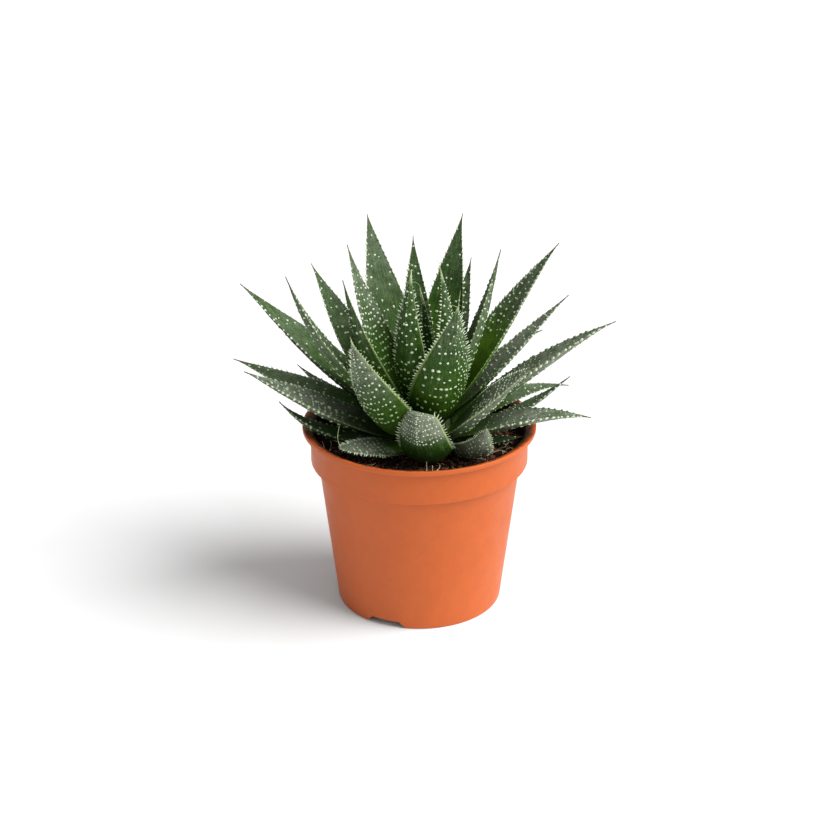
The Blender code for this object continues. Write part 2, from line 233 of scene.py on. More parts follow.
LEAVES = (
    # 1 to 11, low ring, from the left round the front to the right
    Leaf(-106, 18, -3, 0, 21, 93, 20, -10),
    Leaf(-75, 28, 2, 0, 18, 88, 21, -12),
    Leaf(-82, 4, 46, 0, 7, 65, 16),
    Leaf(-122, 12, 18, 0, 8, 68, 15),
    Leaf(-44, 15, -3, -18, 7, 41, 16, -14, 0.6),
    Leaf(4, 22, 78, -33, 8.5, 40, 26.5, 0, 0.18),
    Leaf(45, 5, 70, -30, 7.5, 45, 15.4, -36, 0.75),
    Leaf(78, 2, 9, 10, 7, 35, 12),
    Leaf(76, 26, -32, 0, 17, 73, 19, 4),
    Leaf(96, 18, 22, 0, 9, 66, 12),
    Leaf(120, 21, -38, 0, 14, 75, 13, 10),
    # 12 to 20, middle ring
    Leaf(-96, 39, 3, 0, 43, 107, 22.5, -12),
    Leaf(-71, 43, 26, 1, 52, 104, 21, -10),
    Leaf(-130, 43, 10, 0, 32, 94, 22, -5),
    Leaf(-36.8, 45, 24, -4, 35, 77, 29, 6),
    Leaf(38, 46, -8, 32, 26, 76, 23, 24),
    Leaf(86, 41, -15, 0, 35, 100, 21, 2),
    Leaf(113, 39, -2, 0, 46, 88, 14.5),
    Leaf(132, 38, -36, 0, 26, 78, 16),
    Leaf(110, 56, -9, 0, 58, 104, 20.5, 8),
    # 21 to 31, upright ring
    Leaf(-59, 57, 18, -3, 61, 88, 20, -8),
    Leaf(-120, 60, 14, 4, 62, 90, 18, -8),
    Leaf(-153, 54, 17, 6, 47, 104, 25, 0, 1.1),
    Leaf(-165, 70, 16, 0, 78, 87, 17),
    Leaf(-21, 61, 50, 0, 70, 85, 17),
    Leaf(50, 72, 36, 0, 76, 80, 13),
    Leaf(140, 84, 26, 0, 88, 66, 8),
    Leaf(165, 61, -3, -9, 54, 102, 22),
    Leaf(158, 45, 16, 0, 40, 85, 15),
    Leaf(16, 62, 10, 18, 56, 80, 30),
    Leaf(86, 66, 10, 0, 70, 92, 18, 5),
    # 32 to 39, far side, hidden from the front
    Leaf(-176, 40, 28, 0, 34, 65, 16),
    Leaf(-164, 22, 24, 0, 14, 57, 14),
    Leaf(-142, 28, 20, 0, 20, 73, 16),
    Leaf(148, 26, 18, 0, 18, 66, 14),
    Leaf(168, 18, 24, 0, 10, 55, 13),
    Leaf(-179, 6, 22, 0, 4, 50, 12),
    Leaf(-146, 6, 20, 0, 4, 54, 12),
    Leaf(140, 8, 18, 0, 4, 50, 12),
)

YOUNG_LEAVES = (25, 26, 27)

# Raised spots on one face. rows and gap: millimetres between rows and between spots in a row. radius:
# millimetres. keep: share of the spots that grow. first and last: where on the leaf. bow: how far the rows
# bend to the tip. left and right: the part of the face, from -1 to 1. Where gap is 0 a single line of spots
# runs in its middle.
Spots = namedtuple(
    "Spots", "rows gap radius keep first last bow left right", defaults=(0.25, 0.95, 0.03, -0.92, 0.92)
)

# Teeth on the edges, in millimetres: gap between them, length, and half their width along the edge
Teeth = namedtuple("Teeth", "gap length base")

FRONT_WARTS = Spots(3.3, 0, 1.05, 0.97, bow=0.0, left=-0.95, right=-0.8)
OUTER_SPOTS = (Spots(4.4, 2.5, 0.74, 0.85, 0.26, 0.96),)
INNER_SPOTS = (Spots(5.2, 2.6, 0.72, 0.36, 0.28),)
BLUNT_TEETH = Teeth(3.2, 1.0, 0.80)
SHARP_TEETH = Teeth(1.8, 2.1, 0.55)

# Look of one leaf: how much waxy bloom it has, with painted sheen and painted light on lit faces, and from
# where on the leaf, how pale its edge is, how fresh the green of its base is, its teeth, the spots of its
# inner and outer face, how pale its dry tip is, and how much painted shade darkens its outer face
Look = namedtuple(
    "Look", "bloom wax margin fresh teeth inner outer pale dark",
    defaults=(0.8, 0.26, 0.35, 0.35, BLUNT_TEETH, INNER_SPOTS, OUTER_SPOTS, 0.0, 0.0),
)

LOOKS = {
    1: Look(0.85, 0.25, 0.3, 0.25, Teeth(2.4, 1.5, 0.6), dark=0.4),
    2: Look(2.4, 0.05, 0.8, 0.3, Teeth(2.8, 1.3, 0.9), dark=0.5, inner=(
        Spots(3.4, 2.2, 0.62, 0.55, 0.2),
        Spots(4.2, 0, 1.0, 0.9, 0.2, bow=0.0, left=-0.25, right=-0.1),
    )),
    3: Look(0.3, 0.4, 0.3, 0.2),
    5: Look(2.6, 0.1, 0.9, 0.4, Teeth(1.7, 2.0, 0.55), (Spots(3.2, 2.2, 0.60, 0.7),), pale=0.6, dark=0.3),
    6: Look(3.0, 0.60, 1.0, 0.1, Teeth(1.5, 2.5, 0.5), pale=0.5, outer=(
        Spots(1.7, 1.35, 0.44, 0.97, 0.70, 0.98, 0.02, right=0.1),
        Spots(2.0, 1.6, 0.52, 0.97, 0.69, 0.98, 0.05, left=0.1),
        Spots(0.9, 0, 0.44, 1.0, 0.72, 0.98, 0.0, -0.02, 0.02),
        Spots(0.5, 1.5, 0.50, 0.95, 0.988, 0.9965, 0.0, -0.9, 0.9),
        Spots(0.02, 1.5, 0.50, 0.95, 0.9985, 0.9989, 0.0, -0.9, 0.9),
        Spots(0.0004, 1.5, 0.50, 0.95, 0.99997, 0.99998, 0.0, -0.9, 0.9),
    )),
    7: Look(4.0, -0.2, 1.0, 0.4, Teeth(1.4, 1.4, 0.45), pale=0.5, outer=(
        Spots(2.6, 1.7, 0.5, 0.6, 0.3, 0.97),
    )),
    8: Look(0.4, 0.3, 0.5, 0.4),
    9: Look(2.3, 0.1, 0.5, 0.4, Teeth(3.3, 1.2, 1.15), (FRONT_WARTS, Spots(3.8, 2.1, 0.5, 0.4))),
    10: Look(1.0, 0.2, 0.3, 0.5, Teeth(3.0, 1.0, 0.8), (FRONT_WARTS, Spots(4.0, 2.2, 0.45, 0.4))),
    12: Look(0.55, 0.3, 0.3, 0.3, inner=(Spots(4.6, 2.5, 0.70, 0.40, 0.28, 0.96),), dark=1.0),
    13: Look(0.6, 0.28, 0.3, 0.3, inner=(Spots(4.2, 2.4, 0.70, 0.45, 0.28, 0.96),)),
    14: Look(0.5, 0.3, 0.35, 0.3),
    15: Look(1.3, 0.46, 1.0, 0.36, SHARP_TEETH, pale=0.8, outer=(
        Spots(2.3, 1.5, 0.42, 0.95, 0.36, 0.94, 0.05, right=-0.35),
        Spots(3.6, 2.2, 0.66, 0.85, 0.34, 0.94, 0.05, -0.35, 0.86),
    )),
    16: Look(2.8, 0.05, 1.0, 1.2, Teeth(1.9, 1.6, 0.55), (Spots(3.0, 1.8, 0.62, 0.7, 0.3, 0.93),), dark=0.2),
    17: Look(2.0, 0.16, 0.3, 0.4, Teeth(3.3, 1.3, 1.25), (
        FRONT_WARTS,
        Spots(3.4, 2.0, 0.42, 0.45, last=0.9),
    )),
    18: Look(
        3.4, 0.05, 0.3, 0.6, Teeth(2.9, 1.2, 1.1), (FRONT_WARTS, Spots(3.8, 2.3, 0.75, 0.6)),
        (Spots(3.0, 2.1, 0.75, 0.9, last=0.96),),
    ),
    20: Look(
        1.0, 0.42, 0.9, 1.5, Teeth(2.6, 1.3, 1.0),
        (Spots(3.6, 2.3, 0.70, 0.62, 0.45), Spots(3.2, 0, 0.8, 0.8, 0.4, bow=0.0, left=0.7, right=0.9)),
        (Spots(3.4, 2.2, 0.8, 0.9, 0.26, 0.96),),
    ),
    21: Look(0.35, 0.4, 0.9, 0.8, SHARP_TEETH, inner=(Spots(4.4, 2.3, 0.78, 0.75, bow=0.04),), outer=(
        Spots(4.6, 2.3, 0.78, 0.88, 0.25, 0.96, 0.05),
    )),
    22: Look(1.2, 0.4, 0.4, 0.3, inner=(Spots(3.4, 2.2, 0.76, 0.75),), outer=(
        Spots(3.6, 2.3, 0.74, 0.9, last=0.96),
    )),
    23: Look(0.8, 0.44, 0.3, 0.25, inner=(Spots(5.6, 2.8, 0.76, 0.38, 0.3, 0.93),)),
    24: Look(0.3, 0.3, 0.35, 0.25),
    25: Look(0.4, 0.55, 0.9, 0.3, SHARP_TEETH, pale=1.0, outer=(
        Spots(4.8, 2.2, 0.74, 0.9, 0.18, 0.92, 0.05),
    )),
    26: Look(0.4, 0.45, 0.8, 0.35, SHARP_TEETH, pale=1.0, outer=(
        Spots(4.4, 2.2, 0.70, 0.9, 0.18, 0.92, 0.05),
    )),
    27: Look(0.2, 0.5, 0.8, 0.3, Teeth(2.2, 1.8, 0.5), OUTER_SPOTS, pale=1.0),
    28: Look(0.4, 0.5, 0.8, 0.45, inner=(Spots(6.0, 2.8, 0.76, 0.5, 0.3),)),
    30: Look(0.55, 0.55, 1.0, 0.33, SHARP_TEETH, pale=1.0, outer=(
        Spots(4.8, 2.5, 0.76, 0.88, 0.26, 0.95, -0.02, right=0.25),
        Spots(3.3, 2.0, 0.55, 0.95, 0.26, 0.95, 0.12, left=0.25),
    )),
}

# Long dry hairs that a few leaves end in. length and radius: millimetres. turn and climb: degrees from the
# leaf's heading and rise to the hair's. bend and lift: degrees that it turns sideways and upwards.
Hair = namedtuple("Hair", "length radius turn bend climb lift")

HAIRS = {
    5: (Hair(13, 0.22, -10, 30, 45, 60),),
    15: (Hair(5, 0.24, 0, 20, 5, -20),),
    25: (Hair(7, 0.15, 30, 120, 0, 60),),
    26: (Hair(9, 0.14, -40, -130, -10, -70), Hair(6, 0.12, 80, 90, 0, -100)),
    27: (Hair(10, 0.13, 60, 160, -10, -110),),
    30: (Hair(10, 0.18, 0, 25, 4, 10), Hair(6, 0.13, -60, -90, -20, -60)),
}

# Section of a form that rises from the skin: points round it, the heights of its foot pole and its two rings
# as shares of its height, and the second ring's width as a share of the first one's
Section = namedtuple("Section", "columns foot base shoulder narrow")
SPOT_SECTION = Section(7, -0.5, -0.3, 0.62, 0.74)
TOOTH_SECTION = Section(6, -0.3, -0.25, 0.45, 0.5)

# Surface pieces: points with their faces, the numbers that a material reads at each point, three to a mark,
# and the faces' material slot
Patch = namedtuple("Patch", "points quads triangles marks slot")
MARK_NAMES = ("place", "finish", "look", "tip")

# Painted shade on the pot's inside and on the inner edge of its lip: where it starts and where it ends, each
# over a short stretch of height
INNER_SHADE_BOTTOM = (79 * MM, 80 * MM)
INNER_SHADE_TOP = (99.0 * MM, 101.2 * MM)
LIP_BOTTOM = 95.3 * MM
LIP_SLOPE = 1.86

# Colours that are fixed
POT_SPECK = (0.85, 0.40, 0.22)
# Painted shade that darkens the pot's inside
POT_INNER_SHADE = (0.020, 0.010, 0.007)
POT_BOUNCE = (0.30, 0.26, 0.23)
STEM_BROWN = (0.030, 0.032, 0.010)
STEM_GREEN = (0.045, 0.075, 0.018)
LEAF_STRIPE = (0.16, 0.24, 0.09)
LEAF_FLECK = (0.36, 0.42, 0.28)
LEAF_EDGE = (0.36, 0.47, 0.16)
# Painted shade: the near-black green that the leaves darken to deep in the rosette and on their outer faces
LEAF_SHADE = (0.006, 0.016, 0.002)
SPOT_LOW = (0.20, 0.35, 0.10)
SPOT_FOOT = (0.09, 0.17, 0.05)


# Settings

def metres(name, description, value):
    """A setting in metres."""
    return FloatProperty(name=name, description=description, default=value, unit="LENGTH")


def degrees(name, description, value):
    """A setting that is an angle, given in degrees."""
    return FloatProperty(name=name, description=description, default=math.radians(value), subtype="ANGLE")


def real(name, description, value, least=0.0):
    """A setting that is a plain number."""
    return FloatProperty(name=name, description=description, default=value, min=least)


def tint(name, description, *value):
    """A setting that is a colour."""
    return FloatVectorProperty(
        name=name, description=description, default=value, subtype="COLOR", min=0.0, max=1.0
    )


class PotSettings(PropertyGroup):
    """Sizes and colour of the pot."""

    height: metres("Height", "From the foot to the rim", 97.5 * MM)
    lip_radius: metres("Lip radius", "Outer radius at the rim", 60.0 * MM)
    wall: metres("Wall", "Thickness of the wall", 1.5 * MM)
    sides: IntProperty(name="Sides", description="Faces round the pot", default=192, min=24)
    colour: tint("Colour", "Colour of the plastic", 0.545, 0.100, 0.009)


class SoilSettings(PropertyGroup):
    """Soil and the litter that lies on it."""

    relief: metres("Relief", "Height of the lumps in the surface", 0.9 * MM)
    crumbs: IntProperty(name="Crumbs", description="Loose lumps of peat", default=2600, min=0)
    fibres: IntProperty(name="Fibres", description="Loose pale fibres, with three brown ones to each",
                        default=90, min=0)
    peat: tint("Peat", "Colour of the damp peat", 0.022, 0.013, 0.009)
    rusty: tint("Brown bits", "Colour of the reddish-brown bits", 0.24, 0.085, 0.040)
    straw: tint("Pale fibres", "Colour of the pale dry fibres", 0.74, 0.57, 0.38)


class LeafSettings(PropertyGroup):
    """Teeth, spots and colours of the leaves."""

    tooth_size: real("Tooth size", "Size of the teeth, as a factor", 1.0, 0.1)
    spot_size: real("Spot size", "Size of the raised spots, as a factor", 1.0, 0.1)
    blade: tint("Blade", "Colour of the middle of a leaf", 0.017, 0.056, 0.004)
    base: tint("Base", "Fresh colour near the root", 0.110, 0.250, 0.008)
    # The bloom colour also stands for painted sheen and for painted light on lit faces
    bloom: tint("Bloom", "Colour of the waxy bloom", 0.181, 0.205, 0.152)
    pearl: tint("Spots", "Colour of the spots and teeth", 0.62, 0.71, 0.52)
    awn: tint("Awn", "Colour of the dry tip", 0.10, 0.085, 0.05)
    hair: tint("Hair", "Colour of the long pale awns", 0.42, 0.49, 0.27)


class StageSettings(PropertyGroup):
    """Floor, camera and lights."""

    floor: tint("Floor", "Colour of the floor", 0.90, 0.90, 0.90)
    distance: metres("Camera distance", "From the plant's middle", 950.0 * MM)
    elevation: degrees("Camera elevation", "Over the horizontal", 24.0)
    lens: real("Lens", "Focal length on a 36 mm sensor, in millimetres", 79.37, 1.0)
    key: real("Key light", "Strength of the soft light from the right", 3.7)
    key_elevation: degrees("Key elevation", "Of the key light over the horizontal", 46.0)
    key_heading: degrees("Key heading", "Of the key light, from the front to the right", 75.0)
    key_width: degrees("Key width", "Angle that the key light fills", 50.0)
    side_light: real("Side light", "Strength of the low light from the right", 0.55)
    fill: real("Fill", "Strength of the white surroundings", 0.42)


# Shapes

def at_heading(radius, heading, height):
    """Points (radius * sin heading, -radius * cos heading, height)."""
    return np.stack(np.broadcast_arrays(radius * np.sin(heading), -radius * np.cos(heading), height), axis=-1)


def full_turn(count):
    """Even angles round a full turn."""
    return np.arange(count) * math.tau / count


def unit(vectors):
    """Vectors over their own lengths."""
    return vectors / np.maximum(np.linalg.norm(vectors, axis=-1, keepdims=True), 1e-12)


def limited(values, low=0.0, high=1.0):
    """Values held between two limits."""
    return np.clip(values, low, high)


def joined(parts):
    """Arrays put end to end."""
    return np.concatenate(list(parts))


def lattice_noise(points, cell, seed):
    """Random values from -1 to 1 on a cubic lattice, blended between the corners of a cell by s*s*(3-2s)."""
    size = 32
    table = np.random.default_rng(seed).random((size, size, size))
    scaled = points / cell
    low = np.floor(scaled).astype(int)
    part = scaled - low
    part = part * part * (3.0 - 2.0 * part)
    total = np.zeros(points.shape[:-1])
    for corner in itertools.product((0, 1), repeat=3):
        step = np.array(corner)
        weight = np.prod(np.where(step == 1, part, 1.0 - part), axis=-1)
        place = (low + step) % size
        total += weight * table[place[..., 0], place[..., 1], place[..., 2]]
    return 2.0 * total - 1.0


def grid_faces(rings, columns):
    """Faces of a closed form: rings of points joined by quads, with a fan of triangles to a pole at each end.

    Points are numbered first pole, rings in order, last pole.
    """
    column = np.arange(columns)
    ring = 1 + np.arange(rings)[:, None] * columns
    here = ring + column
    after = ring + (column + 1) % columns
    quads = np.stack([here[:-1], after[:-1], after[1:], here[1:]], axis=-1)
    first_fan = np.stack([0 * column, after[0], here[0]], axis=-1)
    last_fan = np.stack([0 * column + rings * columns + 1, here[-1], after[-1]], axis=-1)
    return quads.reshape(-1, 4), np.concatenate([first_fan, last_fan])


def copies(shapes, rings, columns, marks, slot):
    """Many closed forms of one make: shapes is (count, points, 3), and the faces repeat with an offset.

    marks holds one row for each form, or one for each point of each form.
    """
    count, size = shapes.shape[:2]
    if marks.ndim == 2:
        marks = np.repeat(marks[:, None], size, axis=1)
    quads, triangles = grid_faces(rings, columns)
    offset = (np.arange(count) * size)[:, None, None]
    return Patch(
        shapes.reshape(-1, 3),
        (quads + offset).reshape(-1, 4),
        (triangles + offset).reshape(-1, 3),
        marks.reshape(count * size, -1),
        slot,
    )


def closed_grid(first, rows, last, marks=None):
    """One closed form from a first pole, rows of points (rings, columns, 3) and a last pole.

    The rows run the other way round than in copies, so the faces are turned over to point outwards.
    """
    points = np.concatenate([[first], rows.reshape(-1, 3), [last]])
    quads, triangles = grid_faces(*rows.shape[:2])
    if marks is None:
        marks = np.zeros_like(points)
    return Patch(points, quads[:, ::-1], triangles[:, ::-1], marks, 0)


def new_object(name, data):
    """An object in the scene."""
    thing = bpy.data.objects.new(name, data)
    bpy.context.scene.collection.objects.link(thing)
    return thing


def fill_layer(layer, label, values, kind=np.float32):
    """Hands a whole array to a layer of a mesh."""
    layer.foreach_set(label, values.astype(kind).ravel())


def make_piece(name, patches, materials, replaced=(), surface=None):
    """Puts the patches into one mesh, smooth shaded, and ties the piece to the frame."""
    starts = np.cumsum([0] + [len(patch.points) for patch in patches])
    points = joined(patch.points for patch in patches)
    marks = joined(patch.marks for patch in patches)
    quads = joined(patch.quads + start for patch, start in zip(patches, starts))
    triangles = joined(patch.triangles + start for patch, start in zip(patches, starts))
    slots = joined(np.full(len(patch.quads), patch.slot) for patch in patches)
    slots = np.append(slots, joined(np.full(len(patch.triangles), patch.slot) for patch in patches))
    corners = np.concatenate([quads.ravel(), triangles.ravel()])
    beginnings = np.concatenate([np.arange(len(quads)) * 4, quads.size + np.arange(len(triangles)) * 3])
    mesh = bpy.data.meshes.new(name)
    mesh.vertices.add(len(points))
    mesh.loops.add(len(corners))
    mesh.polygons.add(len(beginnings))
    fill_layer(mesh.vertices, "co", points)
    fill_layer(mesh.loops, "vertex_index", corners, np.int32)
    fill_layer(mesh.polygons, "loop_start", beginnings, np.int32)
    fill_layer(mesh.polygons, "material_index", slots, np.int32)
    fill_layer(mesh.polygons, "use_smooth", np.ones(len(beginnings)), bool)
    mesh.update(calc_edges=True)
    if surface is not None:
        fill_layer(mesh.uv_layers.new(name="leaf_surface").data, "uv", surface[corners])
    for index, label in enumerate(MARK_NAMES[:marks.shape[1] // 3]):
        layer = mesh.attributes.new(label, "FLOAT_VECTOR", "POINT")
        fill_layer(layer.data, "vector", marks[:, 3 * index:3 * index + 3])
    for material in materials:
        mesh.materials.append(material)
    piece = new_object(name, mesh)
    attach(piece, BODY)
    if replaced:
        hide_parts(*replaced)
    return piece


# Pot

def wall_radius(height):
    """The body's outer radius grows in a straight line from the foot to the collar."""
    return FOOT_RADIUS + height / COLLAR_BOTTOM * (BODY_TOP_RADIUS - FOOT_RADIUS)


def pot_outline(pot):
    """Corners of the pot's section as rows of radius, height, rounding and reach.

    The inside comes first. The reach is how high the foot notches are felt, and 0 where they aren't.
    """
    lip_bottom = pot.height - LIP_HEIGHT
    inner_step = COLLAR_BOTTOM + pot.wall
    inner_collar = COLLAR_RADIUS - pot.wall
    return np.array([
        (wall_radius(FLOOR_TOP) - pot.wall, FLOOR_TOP, 1.0 * MM, 0),
        (BODY_TOP_RADIUS - pot.wall, inner_step, 1.0 * MM, 0),
        (inner_collar, inner_step + pot.wall, 0.8 * MM, 0),
        (inner_collar, lip_bottom, 0.8 * MM, 0),
        (pot.lip_radius - pot.wall, pot.height, 0.5 * MM, 0),
        (pot.lip_radius, pot.height, 0.5 * MM, 0),
        (pot.lip_radius, lip_bottom, 0.5 * MM, 0),
        (COLLAR_RADIUS, lip_bottom - FLARE, 1.0 * MM, 0),
        (COLLAR_RADIUS, COLLAR_BOTTOM, 0.9 * MM, 0),
        (BODY_TOP_RADIUS, COLLAR_BOTTOM, 0.5 * MM, 0),
        (wall_radius(NOTCH_REACH), NOTCH_REACH, 0.5 * MM, NOTCH_REACH),
        (FOOT_RADIUS, 0.0, 0.7 * MM, NOTCH_REACH),
        (FOOT_RADIUS - pot.wall, 0.0, 0.3 * MM, FLOOR_UNDERSIDE),
        (wall_radius(FLOOR_UNDERSIDE) - pot.wall, FLOOR_UNDERSIDE, 0.3 * MM, FLOOR_UNDERSIDE),
    ])


def round_corners(corners, rounding, start, end):
    """Each corner C becomes the curve (1-t)^2 A + 2t(1-t) C + t^2 B between A and B at its rounding."""
    first = corners + unit(np.vstack([start, corners[:-1]]) - corners) * rounding
    last = corners + unit(np.vstack([corners[1:], end]) - corners) * rounding
    t = np.linspace(0.0, 1.0, CORNER_STEPS)[None, :, None]
    curve = (1 - t) ** 2 * first[:, None] + 2 * t * (1 - t) * corners[:, None] + t ** 2 * last[:, None]
    return curve.reshape(-1, 2)


def notch_lift(headings):
    """How far the foot's edge is raised at each heading.

    Across each notch it is full within the narrow half width and falls straight to zero at the wide one.
    """
    turn = headings[:, None] - np.radians(NOTCH_HEADINGS)
    across = np.abs(FOOT_RADIUS * np.sin(turn))
    share = limited((NOTCH_HALF_BELOW - across) / (NOTCH_HALF_BELOW - NOTCH_HALF_ABOVE))
    return NOTCH_HEIGHT * np.max(np.where(np.cos(turn) > 0.0, share, 0.0), axis=1)


def pot_headings(sides):
    """Even steps round the pot, with the corners of the notches put in between."""
    halves = np.arcsin(np.array([NOTCH_HALF_BELOW, NOTCH_HALF_ABOVE]) / FOOT_RADIUS)
    corners = np.radians(NOTCH_HEADINGS)[:, None] + np.concatenate([halves, -halves])
    headings = np.sort(np.concatenate([full_turn(sides), corners.ravel() % math.tau]))
    least_step = 0.002
    return headings[np.append(True, np.diff(headings) > least_step)]


def pot_patch(pot):
    """The outline turned round Z.

    A point at height z that a notch reaches rises by lift * (1 - z / reach) and moves out along the cone.
    """
    outline = pot_outline(pot)
    curve = round_corners(outline[:, :2], outline[:, 2:3], (0.0, FLOOR_TOP), (0.0, FLOOR_UNDERSIDE))
    radius, height = curve[:, :1], curve[:, 1:]
    reach = np.repeat(outline[:, 3:], CORNER_STEPS, axis=0)
    headings = pot_headings(pot.sides)
    felt = limited(1.0 - height / np.maximum(reach, MM)) * (reach > 0)
    lift = notch_lift(headings) * felt
    slope = (BODY_TOP_RADIUS - FOOT_RADIUS) / COLLAR_BOTTOM
    rows = at_heading(radius + slope * lift, headings, height + lift)
    return closed_grid((0.0, 0.0, FLOOR_TOP), rows, (0.0, 0.0, FLOOR_UNDERSIDE))


def drain_cutter():
    """Upright cylinders evenly round a circle, each a ring at the bottom and at the top with two poles."""
    columns = 32
    overshoot = 2 * MM
    centres = at_heading(DRAIN_CIRCLE, np.radians(DRAIN_START) + full_turn(DRAIN_COUNT), 0.0)
    ring = at_heading(DRAIN_RADIUS, full_turn(columns), 0.0)
    below = np.array([0.0, 0.0, FLOOR_UNDERSIDE - overshoot])
    above = np.array([0.0, 0.0, FLOOR_TOP + overshoot])
    shape = np.concatenate([[below], ring + below, ring + above, [above]])
    patch = copies(centres[:, None] + shape, 2, columns, centres, 0)
    mesh = bpy.data.meshes.new("drain_cutter")
    mesh.from_pydata(patch.points.tolist(), [], patch.quads.tolist() + patch.triangles.tolist())
    return new_object("drain_cutter", mesh)


def cut_away(piece, cutter):
    """Takes the cutter's volume out of the piece for good."""
    boolean = piece.modifiers.new("cut", "BOOLEAN")
    boolean.operation = "DIFFERENCE"
    boolean.solver = "EXACT"
    boolean.object = cutter
    graph = bpy.context.evaluated_depsgraph_get()
    mesh = bpy.data.meshes.new_from_object(piece.evaluated_get(graph))
    piece.modifiers.clear()
    piece.data = mesh
    bpy.data.objects.remove(cutter, do_unlink=True)


# Soil

def soil_height(points):
    """The level rises in a straight line from edge to middle."""
    radius = np.hypot(points[..., 0], points[..., 1])
    return SOIL_CENTRE_HEIGHT + (SOIL_EDGE_HEIGHT - SOIL_CENTRE_HEIGHT) * radius / COLLAR_RADIUS


def on_soil(radius, heading, relief):
    """Points of the soil's top: its level plus relief times noise of three cell sizes."""
    points = at_heading(radius, heading, 0.0)
    lumps = sum(strength * lattice_noise(points, cell * MM, seed) for strength, cell, seed in SOIL_LUMPS)
    points[..., 2] = soil_height(points) + relief * lumps
    return points


def above_soil(paths, least):
    """Paths with each point raised, where it has to be, to so far over the soil's level."""
    paths[..., 2] = np.maximum(paths[..., 2], soil_height(paths) + least)
    return paths


def soil_patch(pot, relief):
    """A disc of rings with lumps on top, closed by the sides and bottom that fill the pot."""
    around = full_turn(SOIL_COLUMNS)
    inner_step = COLLAR_BOTTOM + pot.wall
    edge = COLLAR_RADIUS - pot.wall - SOIL_GAP
    top = on_soil(np.linspace(0.8 * MM, edge, SOIL_RINGS)[:, None], around, relief)
    below = np.array([
        (edge, inner_step + pot.wall),
        (BODY_TOP_RADIUS - pot.wall - SOIL_GAP, inner_step),
        (wall_radius(FLOOR_TOP) - pot.wall - SOIL_GAP, FLOOR_TOP + SOIL_GAP),
    ])
    rows = np.concatenate([top, at_heading(below[:, :1], around, below[:, 1:])])
    return closed_grid((0.0, 0.0, SOIL_CENTRE_HEIGHT), rows, (0.0, 0.0, FLOOR_TOP + SOIL_GAP))


def turned(shapes, random):
    """Each shape turned by a random unit quaternion (w, q): v + 2w (q x v) + 2 q x (q x v)."""
    quaternion = unit(random.normal(size=(len(shapes), 4)))[:, None]
    w, q = quaternion[..., :1], quaternion[..., 1:]
    crossed = np.cross(q, shapes)
    return shapes + 2.0 * w * crossed + 2.0 * np.cross(q, crossed)


def crumb_patch(count, relief):
    """Lumps of peat: a ball of 3 rings whose points move in or out at random, squashed and turned at random.

    On the right more of them are reddish brown: partly the soil's own brown bits, partly painted light where
    the lamp falls.
    """
    random = np.random.default_rng(21)
    rings, columns = 3, 6
    down = (np.arange(rings)[:, None] + 1) * math.pi / (rings + 1)
    ball = at_heading(np.sin(down), math.pi / 2 - full_turn(columns), np.cos(down)).reshape(-1, 3)
    ball = np.vstack([(0.0, 0.0, 1.0), ball, (0.0, 0.0, -1.0)])
    radius = (COLLAR_RADIUS - CRUMB_MARGIN) * np.sqrt(random.random(count))
    centres = on_soil(radius, random.random(count) * math.tau, relief)
    size = MM * limited(CRUMB_SIZE * np.exp(CRUMB_SPREAD * random.normal(size=count)), *CRUMB_LIMITS)
    centres[:, 2] += CRUMB_SEAT * size
    stretch = random.uniform(*CRUMB_STRETCH, size=(count, 1, 3))
    rough = random.uniform(*CRUMB_ROUGHNESS, size=(count, len(ball), 1))
    shapes = turned(ball * stretch * rough * size[:, None, None], random) + centres[:, None]
    tone = random.random((count, 3))
    # painted light: more reddish crumbs on the lit right side, along with the real brown bits there
    lit_right = (centres[:, 0] > LIT_SOIL_FROM) & (np.abs(centres[:, 1]) < LIT_SOIL_HALF_DEPTH)
    tone[:, 0] **= np.where(lit_right, LIT_SOIL_POWER, OTHER_SOIL_POWER)
    return copies(shapes, rings, columns, tone, 0)


def tubes(paths, radius, taper, columns, marks, slot):
    """Tubes along paths (count, steps, 3), closed by a pole at both ends.

    The radius falls evenly by the share taper, and a ring's points are side * cos - up * sin.
    """
    count, steps = paths.shape[:2]
    radii = radius[:, None] * (1.0 - taper * np.linspace(0.0, 1.0, steps))
    along = unit(np.gradient(paths, axis=1))
    no_path_direction = np.array([0.31, 0.17, 0.93])
    side = unit(np.cross(along, no_path_direction))
    up = np.cross(side, along)
    around = full_turn(columns)[:, None]
    ring = side[:, :, None] * np.cos(around) - up[:, :, None] * np.sin(around)
    rows = paths[:, :, None] + radii[:, :, None, None] * ring
    shapes = np.concatenate([paths[:, :1], rows.reshape(count, -1, 3), paths[:, -1:]], axis=1)
    return copies(shapes, steps, columns, marks, slot)


def fibre_paths(start, heading, rise, length, bend, lift, wave=0.5, steps=14):
    """Paths summed up in equal steps: the heading turns by bend and a wave, the rise changes by lift."""
    t = np.linspace(0.0, 1.0, steps)
    turn = heading[:, None] + bend[:, None] * t + wave * np.sin(9.0 * t + heading[:, None])
    climb = rise[:, None] + lift[:, None] * t
    step = at_heading(np.cos(climb), turn, np.sin(climb)) * (length / steps)[:, None, None]
    return start[:, None] + np.cumsum(step, axis=1) - step[:, :1]


